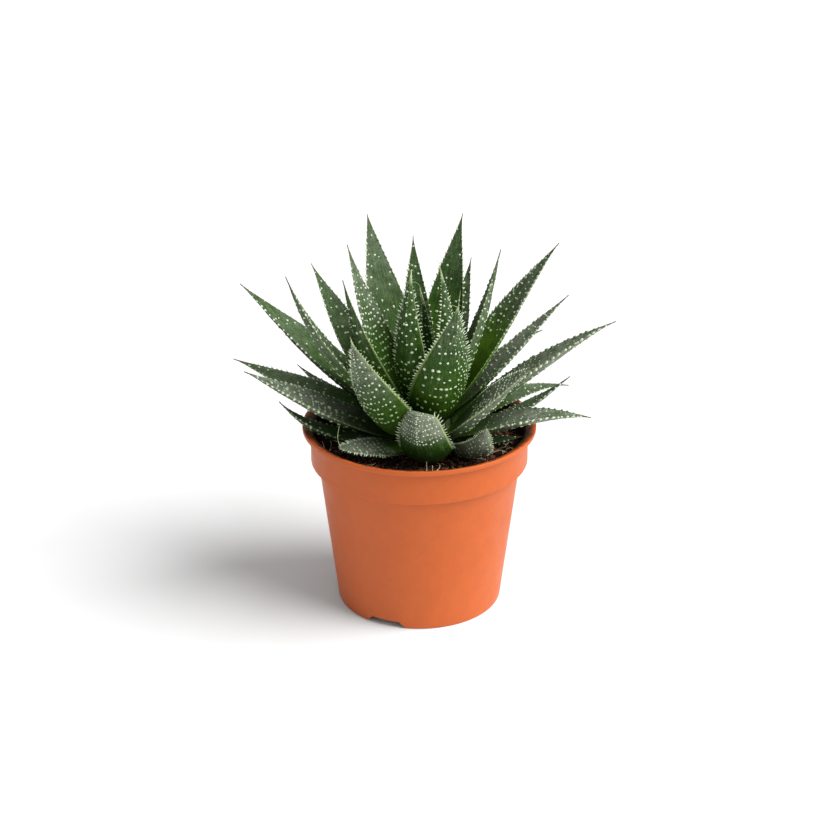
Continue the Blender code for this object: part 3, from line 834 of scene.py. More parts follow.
def fibre_patch(count, relief, seed, slot, lengths, radii):
    """Fibres strewn over the soil: each lies on it, bends sideways and lifts a little.

    lengths and radii are the least and the greatest, in millimetres.
    """
    random = np.random.default_rng(seed)
    reach = (COLLAR_RADIUS - FIBRE_MARGIN) * np.sqrt(random.uniform(0.1, 1.0, count))
    start = on_soil(reach, random.random(count) * math.tau, relief)
    start[:, 2] += FIBRE_START
    length = random.uniform(*lengths, count) * MM
    rise = np.radians(random.uniform(*FIBRE_RISE, count))
    heading = random.random(count) * math.tau
    bend = random.uniform(-FIBRE_BEND, FIBRE_BEND, count)
    paths = fibre_paths(start, heading, rise, length, bend, -1.9 * rise)
    reach = np.hypot(paths[..., 0], paths[..., 1])
    paths[..., :2] *= (np.minimum(reach, FIBRE_LIMIT) / np.maximum(reach, 1e-9))[..., None]
    radius = MM * random.uniform(*radii, count)
    tone = random.random((3, count)).T
    return tubes(above_soil(paths, FIBRE_LEAST), radius, FIBRE_TAPER, 5, tone, slot)


def strand_patch():
    """The strands that stand out in the soil: each starts in it and turns by its bend and lift."""
    x, y, heading, rise, length, radius, bend, lift = np.array(STRANDS).T
    heading, rise, bend, lift = np.radians([heading, rise, bend, lift])
    start = np.stack([x, y, 0.0 * x], axis=-1) * MM
    start[:, 2] = soil_height(start) - STRAND_DEPTH
    paths = fibre_paths(start, heading, rise, length * MM, bend, lift, wave=0.25, steps=18)
    tone = np.full((len(STRANDS), 3), 0.5)
    return tubes(above_soil(paths, -STRAND_DEPTH), radius * STRAND_FULLNESS * MM, FIBRE_TAPER, 6, tone, 1)


# Leaves

def leaf_angles(leaf, share):
    """The rise changes by curl * share^1.5 and the heading by sweep * share."""
    rise = np.radians(leaf.rise + leaf.curl * share ** CURL_POWER)
    heading = np.radians(leaf.heading + leaf.sweep * share)
    return rise, heading


def leaf_direction(leaf, share):
    """The unit vector with that rise and heading."""
    rise, heading = leaf_angles(leaf, share)
    return at_heading(np.cos(rise), heading, np.sin(rise))


def leaf_axes(leaf, share):
    """Unit vectors to the leaf's right edge and out of its upper face, turned by roll about its direction."""
    _, heading = leaf_angles(leaf, share)
    roll = math.radians(leaf.roll)
    level = np.stack([np.cos(heading), np.sin(heading), np.zeros_like(heading)], axis=-1)
    raised = np.cross(leaf_direction(leaf, share), level)
    side = level * math.cos(roll) + raised * math.sin(roll)
    up = raised * math.cos(roll) - level * math.sin(roll)
    return side, up


def leaf_spine(leaf, share):
    """The leaf's middle line: its direction summed up in small steps from the root, a point of the crown.

    The crown is an ellipse turned round, and the root stands seat degrees up it, at the leaf's heading.
    """
    seat = math.radians(leaf.seat)
    out, rise = CROWN_RADIUS * math.cos(seat), CROWN_RISE * math.sin(seat)
    root = CROWN + at_heading(out, math.radians(leaf.heading), rise)
    middles = (np.arange(SPINE_STEPS) + 0.5) / SPINE_STEPS
    steps = leaf_direction(leaf, middles) * leaf.length * MM / SPINE_STEPS
    path = np.vstack([np.zeros(3), np.cumsum(steps, axis=0)])
    knots = np.linspace(0.0, 1.0, SPINE_STEPS + 1)
    return root + np.stack([np.interp(share, knots, path[:, axis]) for axis in range(3)], axis=-1)


def leaf_fullness(leaf, share):
    """Width over the greatest width: sin^point to the tip, a power law to the root, a rounded root."""
    from_tip = 1.0 - share
    tip = np.sin(math.pi / 2 * limited(from_tip / WIDEST_SHARE)) ** leaf.point
    narrowing = limited((from_tip - WIDEST_SHARE) / (1.0 - WIDEST_SHARE)) ** BASE_POWER
    return tip * (1.0 - (1.0 - BASE_SHARE) * narrowing) * np.sqrt(limited(share / ROOT_ROUND))


def leaf_sizes(leaf, share):
    """Half width, thickness and channel depth.

    The half width never falls below the awn's radius and the thickness is 0.22 width * fullness^0.8. The
    channel is the bow of the leaf round the crown, half_width^2 sin(rise) / 2 reach, plus a share of the
    half width.
    """
    fullness = leaf_fullness(leaf, share)
    fine = limited((share - AWN_FROM) / (1.0 - AWN_FROM))
    awn = (AWN_RADIUS + (AWN_END_RADIUS - AWN_RADIUS) * fine) * (share > 0.5)
    half_width = np.maximum(leaf.width * MM / 2 * fullness, awn)
    thickness = np.maximum(THICKNESS_SHARE * leaf.width * MM * fullness ** THICKNESS_POWER, 2 * awn)
    rise, _ = leaf_angles(leaf, share)
    offset = leaf_spine(leaf, share) - CROWN
    reach = np.maximum(np.hypot(offset[..., 0], offset[..., 1]), NEAREST_REACH)
    wrap = (1.0 - WRAP_FADE * share) * half_width ** 2 * np.abs(np.sin(rise)) / (2 * reach)
    channel = wrap + CHANNEL_SHARE * half_width * np.sqrt(np.sin(math.pi * limited(share)))
    return half_width, thickness, channel


def leaf_points(leaf, share, across, below):
    """Points of the skin: spine + half_width * across * side - drop * up.

    across runs from -1 to 1 between the edges and below is 1 on the lower face. With bow = 1 - across^2, the
    drop is channel * bow + below * thickness * bow^0.7, plus a keel that stands out near the tip.
    """
    side, up = leaf_axes(leaf, share)
    half_width, thickness, channel = leaf_sizes(leaf, share)
    bow = np.maximum(1.0 - across ** 2, 0.0)
    ridge = np.exp(-((across / KEEL_WIDTH) ** 2)) * limited((share - KEEL_FROM) / KEEL_RUN)
    drop = channel * bow + below * thickness * (bow ** BOW_POWER + KEEL_SHARE * ridge)
    return leaf_spine(leaf, share) + (half_width * across)[..., None] * side - drop[..., None] * up


def leaf_along(leaf, share, across, below, small):
    """A small step along the skin towards the tip."""
    return leaf_points(leaf, share + small, across, below) - leaf_points(leaf, share - small, across, below)


def leaf_normals(leaf, share, across, below):
    """Outward unit normals: the cross product of small steps along and across the skin."""
    small = 0.004
    wide = leaf_points(leaf, share, across + small, below) - leaf_points(leaf, share, across - small, below)
    normal = unit(np.cross(wide, leaf_along(leaf, share, across, below, small)))
    _, up = leaf_axes(leaf, share)
    outward = np.where(below > 0.5, -1.0, 1.0) * np.sign(np.sum(normal * up, axis=-1))
    return normal * outward[..., None]


def leaf_marks(look, share, across, below, height, dry):
    """What the leaf's materials read: place, height over the skin and dryness, and the leaf's look."""
    finish = (height, dry, look.fresh)
    own = (look.bloom, look.wax, look.margin, look.pale, look.dark, 0.0)
    return np.stack(np.broadcast_arrays(share, np.abs(across), below, *finish, *own), axis=-1)


def leaf_skin(leaf, look, number):
    """Rings from root to tip. Round a ring, across is the cosine of an angle and its far half is below.

    Noise ripples the faces and wavers the edges, fading to root and tip. The second result holds each point's
    distances across and along the leaf.
    """
    length = leaf.length * MM
    rings = round(length / RING_SPACING)
    even = np.arange(1, rings) / rings
    end = even[-1] + (1.0 - even[-1]) * np.array(END_RINGS)
    turn = full_turn(LEAF_COLUMNS)
    share, across = np.broadcast_arrays(np.concatenate([even, end])[:, None], np.cos(turn))
    below = np.broadcast_to(1.0 * (np.sin(turn) > 1e-6), share.shape)
    points = leaf_points(leaf, share, across, below)
    side, up = leaf_axes(leaf, share)
    grown = limited(share / NOISE_FADE) * limited((HAIR_ROOT - share) / NOISE_FADE)
    ripple = lattice_noise(points, RIPPLE_CELL, RIPPLE_SEED + number) * RIPPLE * MM * grown
    waver = lattice_noise(points, WAVER_CELL, WAVER_SEED + number) * WAVER * MM * grown * across
    points = points + ripple[..., None] * up + waver[..., None] * side
    half_width, _, _ = leaf_sizes(leaf, share)
    dry = limited(1.9 - half_width / AWN_RADIUS * 0.7) * (share > 0.5)
    surface = np.stack([half_width * across, length * share], axis=-1).reshape(-1, 2)
    surface = np.vstack([(0.0, 0.0), surface, (0.0, length)])
    first, last = leaf_spine(leaf, np.array([0.0, 1.0]))
    columns = ((0.0, share, 1.0), (0.0, across, 0.0), (0.5, below, 0.5), (0.0, dry, 1.0))
    share, across, below, dry = (joined([[root], values.ravel(), [tip]]) for root, values, tip in columns)
    return closed_grid(first, points, last, leaf_marks(look, share, across, below, 0.0, dry)), surface


def raised_patch(look, section, places, centres, out, first, second, widths, heights):
    """Forms that rise from the skin: a foot pole, two oval rings and a top pole.

    A ring's points are centre + width * (first * cos + second * sin) + height * out. The material reads a
    height of 0.3 at the foot and the first ring, 0.8 at the second and 1 on top.
    """
    columns = section.columns
    around = full_turn(columns)[:, None]
    oval = first[:, None] * np.cos(around) + second[:, None] * np.sin(around)
    centre, out = centres[:, None], out[:, None]
    wide, tall = widths[:, None, None], heights[:, None, None]
    shapes = np.concatenate([
        centre + out * section.foot * tall,
        centre + oval * wide + out * section.base * tall,
        centre + oval * section.narrow * wide + out * section.shoulder * tall,
        centre + out * tall,
    ], axis=1)
    share, across, below = (values[:, None] for values in places)
    height = np.repeat([0.3, 0.8, 1.0], [columns + 1, columns, 1])
    return copies(shapes, 2, columns, leaf_marks(look, share, across, below, height, 0.0), 1)


def face_spots(leaf, spots, below, seed):
    """Where the spots of one face stand: rows across the leaf that bend to the tip by bow * across^2.

    The chance of a spot is keep + 1.2 (1 - keep) * noise, so that they stand in patches where keep is low.
    """
    random = np.random.default_rng(seed)
    length = leaf.length * MM
    rows = np.arange(spots.first * length, spots.last * length, spots.rows * MM) / length
    half_width, _, _ = leaf_sizes(leaf, rows)
    most = int(np.ceil(leaf.width / spots.gap)) + 1 if spots.gap else 1
    size = (len(rows), most)
    step = np.arange(most) - (most - 1) / 2 + random.uniform(-0.5, 0.5, (len(rows), 1))
    across = (step + random.normal(0.0, SPOT_SCATTER[0], size)) * spots.gap * MM / half_width[:, None]
    if not spots.gap:
        across = (spots.left + spots.right) / 2 + random.normal(0.0, LINE_SCATTER, size)
    scatter = random.normal(0.0, SPOT_SCATTER[1], size) * spots.rows * MM / length
    share = rows[:, None] + spots.bow * across ** 2 + scatter
    inside = (across > spots.left) & (across < spots.right) & (share < spots.last)
    patch = lattice_noise(leaf_points(leaf, limited(share), limited(across, -1.0), below), PATCH_CELL, seed)
    chosen = inside & (random.random(size) < spots.keep + PATCH_STRENGTH * (1.0 - spots.keep) * patch)
    share, across = share[chosen], across[chosen]
    radii = spots.radius * MM * (1.12 - 0.4 * share ** 2) * random.uniform(*SPOT_SIZES, len(share))
    return share, across, np.full(len(share), float(below)), radii


def leaf_spots(leaf, look, number, size):
    """Domes over both faces, half as high as wide, each stretched across the leaf and narrowed along it."""
    faces = [
        face_spots(leaf, spots, below, seed + number + SEED_STEP * part)
        for below, seed, rows in ((1, OUTER_SEED, look.outer), (0, INNER_SEED, look.inner))
        for part, spots in enumerate(rows)
    ]
    *places, widths = (joined(column) for column in zip(*faces))
    widths = widths * size
    normals = leaf_normals(leaf, *places)
    side = unit(np.cross(leaf_direction(leaf, places[0]), normals))
    stretch = np.random.default_rng(STRETCH_SEED + number).uniform(*SPOT_STRETCH, (len(widths), 1))
    ahead = np.cross(normals, side) / stretch
    centres = leaf_points(leaf, *places)
    heights = SPOT_HEIGHT * widths
    return raised_patch(look, SPOT_SECTION, places, centres, normals, side * stretch, ahead, widths, heights)


def edge_teeth(leaf, teeth, edge, random):
    """Where teeth stand along an edge (1, -1) or the keel (0), and which way they point.

    They stand at even steps of its length with a little scatter. Outwards is edge * (up x along), or down for
    the keel, and they lean towards the tip.
    """
    below = 0.0 if edge else 1.0
    share = np.linspace(TEETH_FROM if edge else KEEL_TEETH_FROM, TEETH_TO, EDGE_STEPS)
    steps = np.linalg.norm(np.diff(leaf_points(leaf, share, edge, below), axis=0), axis=1)
    run = np.append(0.0, np.cumsum(steps))
    count = max(int(run[-1] / (teeth.gap * MM)), 1)
    even = (np.arange(count) + 0.5 + random.normal(0.0, TOOTH_SCATTER, count)) * run[-1] / count
    share = np.interp(even, run, share)
    along = unit(leaf_along(leaf, share, edge, below, 0.002))
    _, up = leaf_axes(leaf, share)
    outwards = edge * np.cross(up, along) if edge else -up
    out = unit(outwards + TOOTH_LEAN * along + TOOTH_STRAY * random.normal(size=along.shape))
    return share, np.full(count, float(edge)), np.full(count, below), out, along


def leaf_teeth(leaf, look, number, size):
    """Flat cones along both edges and the end of the keel, smaller near the root and the tip."""
    random = np.random.default_rng(TEETH_SEED + number)
    parts = [edge_teeth(leaf, look.teeth, edge, random) for edge in (1, -1, 0)]
    *places, out, along = (joined(column) for column in zip(*parts))
    share, across, _ = places
    half_width, _, _ = leaf_sizes(leaf, share)
    grown = limited(share / 0.5, SMALLEST_TOOTH) * limited(half_width / FULL_TOOTH_WIDTH, SMALLEST_TOOTH)
    grown = grown * random.uniform(*TOOTH_SIZES, len(share)) * size * MM
    grown = grown * np.where(across == 0.0, KEEL_TOOTH, 1.0)
    first = unit(along - np.sum(along * out, axis=-1, keepdims=True) * out)
    second = TOOTH_FLATNESS * np.cross(out, first)
    centres = leaf_points(leaf, *places)
    widths, heights = look.teeth.base * grown, look.teeth.length * grown
    return raised_patch(look, TOOTH_SECTION, places, centres, out, first, second, widths, heights)


def leaf_hairs(leaf, look, hairs):
    """Dry hairs that start near the leaf's end, along the leaf's own direction there."""
    length, radius, *turns = np.array(hairs).T
    turn, bend, climb, lift = np.radians(turns)
    at = np.full(len(hairs), HAIR_ROOT)
    rise, heading = leaf_angles(leaf, at)
    start = leaf_spine(leaf, at)
    paths = fibre_paths(start, heading + turn, rise + climb, length * MM, bend, lift, wave=0.12, steps=22)
    marks = leaf_marks(look, np.ones(len(hairs)), 0.0, 0.0, 1.0, 1.0)
    return tubes(paths, radius * MM, HAIR_TAPER, 6, marks, 2)


def make_leaf(number, settings, skins):
    """One leaf with its spots, its teeth and, on a few, its hairs."""
    leaf = LEAVES[number - 1]
    look = LOOKS.get(number, Look())
    name = f"leaf_{number:02d}"
    skin, surface = leaf_skin(leaf, look, number)
    patches = [
        skin,
        leaf_spots(leaf, look, number, settings.spot_size),
        leaf_teeth(leaf, look, number, settings.tooth_size),
    ]
    if number in HAIRS:
        patches.append(leaf_hairs(leaf, look, HAIRS[number]))
    extra = sum(len(patch.points) for patch in patches[1:])
    make_piece(name + "_blade", patches, skins, (name,), np.vstack([surface, np.zeros((extra, 2))]))


# Materials

class Nodes:
    """A node tree and short ways to add to it. A value is a number, a colour or another node's socket."""

    def __init__(self, tree):
        self.tree = tree

    def fill(self, socket, value):
        """Links a socket or sets its value."""
        if isinstance(value, bpy.types.NodeSocket):
            self.tree.links.new(value, socket)
        else:
            socket.default_value = (*value, 1.0) if socket.type == "RGBA" else value

    def fill_all(self, node, values):
        """Fills a node's inputs by name, with spaces written as underscores."""
        for name, value in values.items():
            self.fill(node.inputs[name.replace("_", " ")], value)
        return node

    def add(self, kind, **values):
        """A shader node with its inputs."""
        return self.fill_all(self.tree.nodes.new("ShaderNode" + kind), values)

    def mix(self, factor, first, second):
        """A colour mix."""
        node = self.add("Mix", Factor=factor)
        node.data_type = "RGBA"
        for index, value in ((6, first), (7, second)):
            self.fill(node.inputs[index], value)
        return node.outputs[2]

    def calculate(self, operation, *values, limit=False):
        """A sum of two or more numbers from left to right, held between 0 and 1 at the end by limit."""
        total = values[0]
        for value in values[1:]:
            node = self.add("Math")
            node.operation = operation
            self.fill(node.inputs[0], total)
            self.fill(node.inputs[1], value)
            total = node.outputs[0]
        node.use_clamp = limit
        return total

    def plus(self, *values, limit=False):
        return self.calculate("ADD", *values, limit=limit)

    def times(self, *values, limit=False):
        return self.calculate("MULTIPLY", *values, limit=limit)

    def spread(self, value, low, high, to_low=0.0, to_high=1.0):
        """Maps low..high of a value smoothly to another range."""
        node = self.add("MapRange", Value=value, From_Min=low, From_Max=high, To_Min=to_low, To_Max=to_high)
        node.interpolation_type = "SMOOTHSTEP"
        return node.outputs["Result"]


class Paint(Nodes):
    """A material in the making, with its shader and its object coordinates."""

    def __init__(self, name, roughness, specular):
        self.material = bpy.data.materials.new(name)
        self.material.use_nodes = True
        super().__init__(self.material.node_tree)
        self.shader = self.tree.nodes["Principled BSDF"]
        self.place = self.add("TexCoord").outputs["Object"]
        self.fill_all(self.shader, {"Roughness": roughness, "Specular IOR Level": specular})

    def noise(self, size, detail=3.0, roughness=0.55):
        """Noise with features of about the given size in metres."""
        node = self.add("TexNoise", Vector=self.place, Scale=1.0 / size, Detail=detail, Roughness=roughness)
        return node.outputs["Fac"]

    def read(self, label):
        """The three numbers of a mark stored at each point of a piece."""
        marks = self.add("Attribute")
        marks.attribute_name = label
        return self.add("SeparateXYZ", Vector=marks.outputs["Vector"]).outputs

    def shared(self, name, **values):
        """Places a node group that materials share, made when it is first used, and gives its output."""
        node = self.add("Group")
        node.node_tree = bpy.data.node_groups.get(name) or GROUP_MAKERS[name]()
        return self.fill_all(node, {"Vector": self.place, **values}).outputs[0]

    def mottle(self, colour, scale, amount):
        return self.shared("mottle", Colour=colour, Scale=scale, Amount=amount)

    def finish(self, colour, grain, strength, depth, **others):
        """Sets the colour, a fine bump and other inputs, and hands over the material."""
        height = self.shared("grain", Scale=grain)
        bump = self.add("Bump", Height=height, Strength=strength, Distance=depth)
        self.fill_all(self.shader, {"Base Color": colour, "Normal": bump.outputs["Normal"], **others})
        return self.material


def new_group(name, inputs, output, kind):
    """A shader node group with its named sockets. Gives its nodes, its inputs and its output."""
    group = bpy.data.node_groups.new(name, "ShaderNodeTree")
    for label, socket_type in inputs.items():
        group.interface.new_socket(name=label, in_out="INPUT", socket_type=socket_type)
    group.interface.new_socket(name=output, in_out="OUTPUT", socket_type=kind)
    start = group.nodes.new("NodeGroupInput").outputs
    return group, Nodes(group), start, group.nodes.new("NodeGroupOutput").inputs[0]


def mottle_group():
    """Lightens and darkens a colour in soft blotches of two sizes."""
    sockets = {"Colour": "NodeSocketColor", "Vector": "NodeSocketVector", "Scale": "NodeSocketFloat",
               "Amount": "NodeSocketFloat"}
    group, nodes, start, end = new_group("mottle", sockets, "Colour", "NodeSocketColor")
    colour, vector, scale, amount = (start[label] for label in sockets)
    broad = nodes.add("TexNoise", Vector=vector, Scale=scale, Detail=4.0, Roughness=0.6)
    fine = nodes.add("TexNoise", Vector=vector, Scale=nodes.times(scale, 4.3), Detail=3.0)
    mask = nodes.spread(nodes.plus(broad.outputs["Fac"], fine.outputs["Fac"]), 0.75, 1.25)
    swing = nodes.times(nodes.plus(mask, -0.5), nodes.times(amount, 2.0))
    shaded = nodes.add("HueSaturation", Color=colour, Value=nodes.plus(swing, 1.0))
    nodes.fill(end, shaded.outputs["Color"])
    return group


def grain_group():
    """A height made of two sizes of noise, for fine bump."""
    sockets = {"Vector": "NodeSocketVector", "Scale": "NodeSocketFloat"}
    group, nodes, start, end = new_group("grain", sockets, "Height", "NodeSocketFloat")
    vector, scale = (start[label] for label in sockets)
    coarse = nodes.add("TexNoise", Vector=vector, Scale=scale, Detail=2.0)
    fine = nodes.add("TexNoise", Vector=vector, Scale=nodes.times(scale, 3.7), Detail=2.0)
    nodes.fill(end, nodes.plus(coarse.outputs["Fac"], nodes.times(fine.outputs["Fac"], 0.4)))
    return group


GROUP_MAKERS = {"mottle": mottle_group, "grain": grain_group}


def inner_wall_shade(paint):
    """Where painted shade darkens the inside of the pot: from the soil's edge almost to the rim.

    Inside is where the radius is less than the collar's, which grows by the lip's slope above its bottom.
    """
    x, y, height = paint.add("SeparateXYZ", Vector=paint.place).outputs
    over = paint.calculate("MAXIMUM", paint.plus(height, -LIP_BOTTOM), 0.0)
    radius = paint.calculate("SQRT", paint.plus(paint.times(x, x), paint.times(y, y)), 0.0)
    radius = paint.calculate("SUBTRACT", radius, paint.times(over, LIP_SLOPE))
    inside = paint.spread(radius, COLLAR_RADIUS - 0.9 * MM, COLLAR_RADIUS - 0.3 * MM, 1.0, 0.0)
    ragged = paint.times(paint.noise(4 * MM, detail=4.0), 6 * MM)
    level = paint.spread(paint.plus(height, ragged), *INNER_SHADE_TOP, 1.0, 0.0)
    return paint.times(inside, paint.spread(height, *INNER_SHADE_BOTTOM), level)


def pot_material(settings):
    """Satin moulded plastic with faint clouds, fine speckles and rubbed patches, and painted shade on its
    inside.
    """
    paint = Paint("terracotta_plastic", roughness=0.48, specular=0.42)
    speckle = paint.times(paint.spread(paint.noise(0.7 * MM, detail=2.0), 0.66, 0.74), 0.18)
    pale = paint.mix(speckle, paint.mottle(settings.colour, scale=45.0, amount=0.03), POT_SPECK)
    # painted shade: the inside of the pot and the inner edge of the lip darkened almost to black
    inner_shaded = paint.mix(paint.times(inner_wall_shade(paint), 0.92), pale, POT_INNER_SHADE)
    bounced = paint.times(paint.add("LightPath").outputs["Is Diffuse Ray"], 0.75)
    rubbed = paint.spread(paint.noise(14 * MM, detail=4.0), 0.35, 0.7, 0.44, 0.54)
    muted = paint.mix(bounced, inner_shaded, POT_BOUNCE)
    return paint.finish(muted, grain=1400.0, strength=0.12, depth=0.1 * MM, Roughness=rubbed)


def peat_material(settings):
    """Damp peat: black-brown with reddish-brown bits where the mark or a coarse noise is high."""
    paint = Paint("peat", roughness=0.9, specular=0.25)
    tone, _, _ = paint.read("place")
    bits = paint.spread(paint.noise(1.6 * MM, roughness=0.7), 0.58, 0.72)
    share = paint.plus(paint.times(bits, 0.35), paint.times(tone, 0.8), limit=True)
    colour = paint.mottle(paint.mix(share, settings.peat, settings.rusty), scale=420.0, amount=0.45)
    damp = paint.spread(paint.noise(5 * MM), 0.35, 0.65, 0.7, 0.98)
    return paint.finish(colour, grain=1100.0, strength=0.8, depth=0.5 * MM, Roughness=damp)


def fibre_material(name, colour):
    """Dry fibre, lighter and darker along its length."""
    paint = Paint(name, roughness=0.7, specular=0.35)
    mottled = paint.mottle(colour, scale=330.0, amount=0.4)
    return paint.finish(mottled, grain=2500.0, strength=0.4, depth=0.15 * MM)


def bark_material():
    """Dry tissue of the stem, in brown and green streaks."""
    paint = Paint("stem_tissue", roughness=0.85, specular=0.3)
    streaks = paint.mix(paint.spread(paint.noise(2.5 * MM, detail=5.0), 0.35, 0.65), STEM_BROWN, STEM_GREEN)
    mottled = paint.mottle(streaks, scale=300.0, amount=0.35)
    return paint.finish(mottled, grain=900.0, strength=0.7, depth=0.3 * MM)


def leaf_stripes(paint):
    """Fine stripes along a leaf: noise that is stretched along it."""
    surface = paint.add("UVMap")
    surface.uv_map = "leaf_surface"
    stretched = paint.add("Mapping", Vector=surface.outputs["UV"], Scale=(1400.0, 110.0, 1.0))
    stripes = paint.add("TexNoise", Vector=stretched.outputs["Vector"], Scale=1.0, Detail=2.0)
    return paint.spread(stripes.outputs["Fac"], 0.45, 0.75)


def skin_material(name, settings, most_bloom_and_sheen):
    """Leaf skin: fresh green at the root, darker in the middle, greyer to the tip under a patchy bloom.

    The edges have a pale line and fine stripes run lengthwise. The bloom also paints sheen and makes lit
    faces paler, and painted shade darkens the skin towards the root, deep in the rosette, and on the outer
    face.
    """
    paint = Paint(name, roughness=0.5, specular=0.12)
    mix, times, spread = paint.mix, paint.times, paint.spread
    share, edge, below = paint.read("place")
    _, dry, freshness = paint.read("finish")
    bloom_and_sheen_amount, wax, margin = paint.read("look")
    # The tip mark's second number is the painted shade that darkens a leaf's outer face
    paleness, dark, _ = paint.read("tip")
    young = times(spread(share, 0.15, 0.72, 1.0, 0.0), freshness, limit=True)
    clouds = paint.noise(8 * MM, detail=4.0, roughness=0.62)
    upper = spread(paint.calculate("SUBTRACT", share, wax), 0.0, 0.34)
    upper = times(upper, spread(edge, 0.3, 1.0, 0.75, 1.2))
    # waxy bloom that is also painted sheen and painted light: stronger on leaves that face the lamp, absent
    # where they lie in shade
    bloom = times(spread(clouds, 0.32, 0.62, 0.35, 1.0), upper, bloom_and_sheen_amount, most_bloom_and_sheen, limit=True)
    bloom_and_sheen_coloured = mix(bloom, mix(young, settings.blade, settings.base), settings.bloom)
    stripe = times(leaf_stripes(paint), spread(share, 0.1, 0.9, 0.1, 0.45))
    fleck = times(spread(paint.noise(0.5 * MM, detail=2.0), 0.6, 0.7), spread(share, 0.2, 0.6), 0.28)
    flecked = mix(fleck, mix(stripe, bloom_and_sheen_coloured, LEAF_STRIPE), LEAF_FLECK)
    line = times(spread(edge, 0.955, 0.995), margin)
    edged = mix(line, paint.mottle(flecked, scale=240.0, amount=0.3), LEAF_EDGE)
    tipped = mix(dry, edged, mix(paleness, settings.awn, settings.hair))
    # painted shade: darker towards the root, deep in the rosette, and on the outer face by the leaf's look
    shade = paint.plus(spread(share, 0.12, 0.68, 0.58, 0.0), times(dark, below), limit=True)
    shaded = mix(shade, tipped, LEAF_SHADE)
    cloudy = spread(clouds, 0.35, 0.65, 0.40, 0.58)
    return paint.finish(shaded, grain=1300.0, strength=0.35, depth=0.15 * MM, Roughness=cloudy)


def pearl_material(settings):
    """Raised spots and teeth: green at the foot and white-green on top, greener near the leaf's root."""
    paint = Paint("pearly_spots", roughness=0.5, specular=0.3)
    share, _, _ = paint.read("place")
    height, _, _ = paint.read("finish")
    pearl = paint.mix(paint.spread(share, 0.2, 0.62), SPOT_LOW, settings.pearl)
    colour = paint.mix(paint.spread(height, 0.0, 0.6), SPOT_FOOT, pearl)
    mottled = paint.mottle(colour, scale=500.0, amount=0.15)
    return paint.finish(mottled, grain=3000.0, strength=0.3, depth=0.08 * MM)


def floor_material(settings):
    """Matt pale floor with the faintest clouds."""
    paint = Paint("pale_floor", roughness=0.9, specular=0.2)
    paint.fill(paint.shader.inputs["Base Color"], paint.mottle(settings.floor, scale=3.0, amount=0.01))
    return paint.material


# Studio

def make_floor(settings):
    """One large flat square under the pot."""
    reach = 14.0
    mesh = bpy.data.meshes.new("floor")
    corners = [(-reach, -reach, 0.0), (reach, -reach, 0.0), (reach, reach, 0.0), (-reach, reach, 0.0)]
    mesh.from_pydata(corners, [], [(0, 1, 2, 3)])
    mesh.materials.append(floor_material(settings))
    floor = new_object("floor", mesh)


def make_world(settings):
    """White surroundings."""
    world = bpy.data.worlds.new("studio")
    world.use_nodes = True
    background = world.node_tree.nodes["Background"]
    background.inputs["Color"].default_value = (1.0, 1.0, 1.0, 1.0)
    background.inputs["Strength"].default_value = settings.fill
    bpy.context.scene.world = world


def aim(thing, target, heading, elevation, distance):
    """Puts a light or camera at a heading, elevation and distance from a target, looking at it."""
    back = Vector(at_heading(np.cos(elevation), heading, np.sin(elevation)))
    thing.location = Vector(target) + distance * back
    thing.rotation_euler = (-back).to_track_quat("-Z", "Y").to_euler()


def make_light(name, strength, width, heading, elevation):
    """A far, wide, soft light that comes from a heading and an elevation."""
    data = bpy.data.lights.new(name, "SUN")
    data.energy = strength
    data.angle = width
    aim(new_object(name, data), (0.0, 0.0, 0.0), heading, elevation, 1.0)


def make_camera(settings):
    """The camera at the photograph's angle and distance."""
    data = bpy.data.cameras.new("camera")
    data.lens = settings.lens
    data.sensor_width = 36.0
    data.clip_start = 0.05
    data.clip_end = 50.0
    camera = new_object("camera", data)
    aim(camera, (0.36 * MM, 0.0, 98.5 * MM), 0.0, settings.elevation, settings.distance)
    bpy.context.scene.camera = camera


# Operators

class ALOE_OT_pot(Operator):
    """Make the pot with its rim, collar, foot notches and drain holes"""

    bl_idname = "aloe.pot"
    bl_label = "Pot"

    def execute(self, context):
        pot = context.scene.aloe_pot
        piece = make_piece("nursery_pot", [pot_patch(pot)], [pot_material(pot)], ("pot",))
        cut_away(piece, drain_cutter())
        return {"FINISHED"}


class ALOE_OT_soil(Operator):
    """Make the soil with its lumps, crumbs and fibres"""

    bl_idname = "aloe.soil"
    bl_label = "Soil"

    def execute(self, context):
        soil = context.scene.aloe_soil
        bed = soil_patch(context.scene.aloe_pot, soil.relief)
        crumbs = crumb_patch(soil.crumbs, soil.relief)
        strewn = [
            fibre_patch(soil.fibres * 3, soil.relief, seed=31, slot=0, lengths=(4, 14), radii=(0.10, 0.28)),
            fibre_patch(soil.fibres, soil.relief, seed=32, slot=1, lengths=(5, 20), radii=(0.07, 0.17)),
            strand_patch(),
        ]
        peat = peat_material(soil)
        dry = [fibre_material("brown_fibre", soil.rusty), fibre_material("pale_fibre", soil.straw)]
        make_piece("peat_bed", [bed], [peat], ("potting_soil",))
        make_piece("peat_crumbs", [crumbs], [peat])
        make_piece("loose_fibres", strewn, dry)
        return {"FINISHED"}


class ALOE_OT_stem(Operator):
    """Give the stem its dry tissue"""

    bl_idname = "aloe.stem"
    bl_label = "Stem"

    def execute(self, context):
        material = bark_material()
        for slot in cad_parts["stem"].material_slots:
            slot.material = material
        return {"FINISHED"}


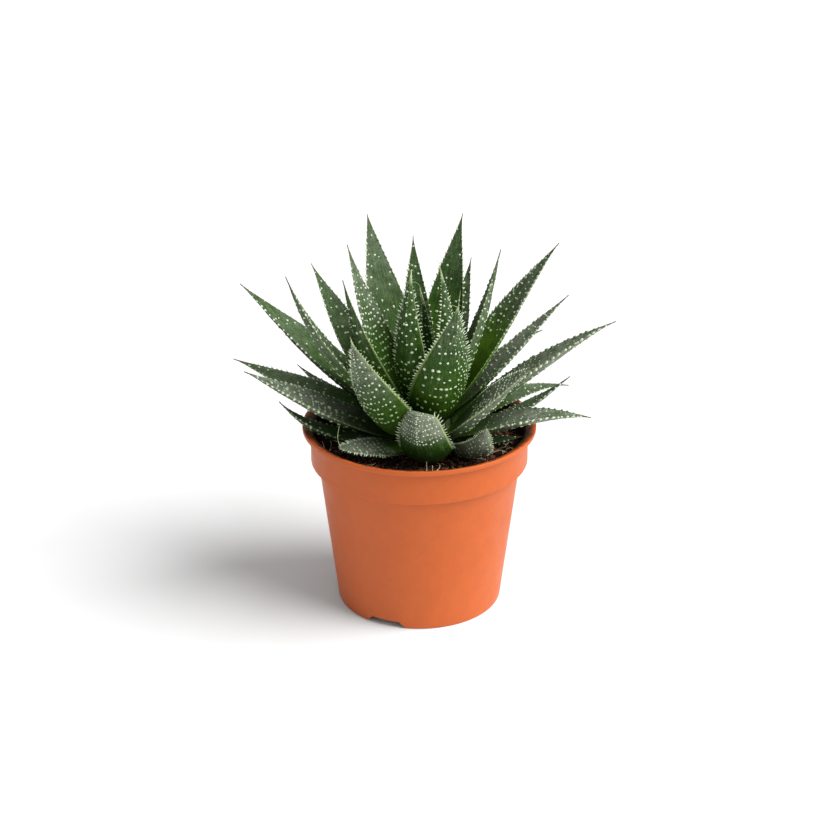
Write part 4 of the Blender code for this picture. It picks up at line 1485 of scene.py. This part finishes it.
class ALOE_OT_leaves(Operator):
    """Make every leaf with its teeth, raised spots and dry tip"""

    bl_idname = "aloe.leaves"
    bl_label = "Leaves"

    def execute(self, context):
        settings = context.scene.aloe_leaves
        grown = skin_material("leaf_skin", settings, most_bloom_and_sheen=0.66)
        young = skin_material("young_leaf_skin", settings, most_bloom_and_sheen=0.46)
        others = [pearl_material(settings), fibre_material("dry_hair", settings.hair)]
        for number in range(1, len(LEAVES) + 1):
            if number in YOUNG_LEAVES:
                make_leaf(number, settings, [young, *others])
            else:
                make_leaf(number, settings, [grown, *others])
        return {"FINISHED"}


class ALOE_OT_stage(Operator):
    """Make the floor, the lights and the camera"""

    bl_idname = "aloe.stage"
    bl_label = "Studio"

    def execute(self, context):
        stage = context.scene.aloe_stage
        make_floor(stage)
        make_world(stage)
        make_light("key", stage.key, stage.key_width, stage.key_heading, stage.key_elevation)
        make_light("side_light", stage.side_light, *np.radians([50.0, 62.0, 20.0]))
        make_camera(stage)
        context.scene.view_settings.view_transform = "Standard"
        return {"FINISHED"}


class ALOE_PT_parts(Panel):
    """Lists the steps in the sidebar"""

    bl_idname = "ALOE_PT_parts"
    bl_label = "Potted lace aloe"
    bl_space_type = "VIEW_3D"
    bl_region_type = "UI"
    bl_category = "Aloe"

    def draw(self, context):
        groups = (("aloe_pot", ("aloe.pot",)), ("aloe_soil", ("aloe.soil",)),
                  ("aloe_leaves", ("aloe.stem", "aloe.leaves")), ("aloe_stage", ("aloe.stage",)))
        for settings, steps in groups:
            box = self.layout.box()
            for step in steps:
                box.operator(step)
            values = getattr(context.scene, settings)
            for name in values.__annotations__:
                box.prop(values, name)


SETTINGS = {
    "aloe_pot": PotSettings,
    "aloe_soil": SoilSettings,
    "aloe_leaves": LeafSettings,
    "aloe_stage": StageSettings,
}

STEPS = (ALOE_OT_pot, ALOE_OT_soil, ALOE_OT_stem, ALOE_OT_leaves, ALOE_OT_stage, ALOE_PT_parts)


def register():
    for kind in (*SETTINGS.values(), *STEPS):
        bpy.utils.register_class(kind)
    for name, kind in SETTINGS.items():
        setattr(bpy.types.Scene, name, PointerProperty(type=kind))


def unregister():
    for name in SETTINGS:
        delattr(bpy.types.Scene, name)
    for kind in reversed((*SETTINGS.values(), *STEPS)):
        bpy.utils.unregister_class(kind)


def main():
    register()
    bpy.ops.aloe.stage()
    bpy.ops.aloe.pot()
    bpy.ops.aloe.soil()
    bpy.ops.aloe.stem()
    bpy.ops.aloe.leaves()


if __name__ == "__main__":
    main()
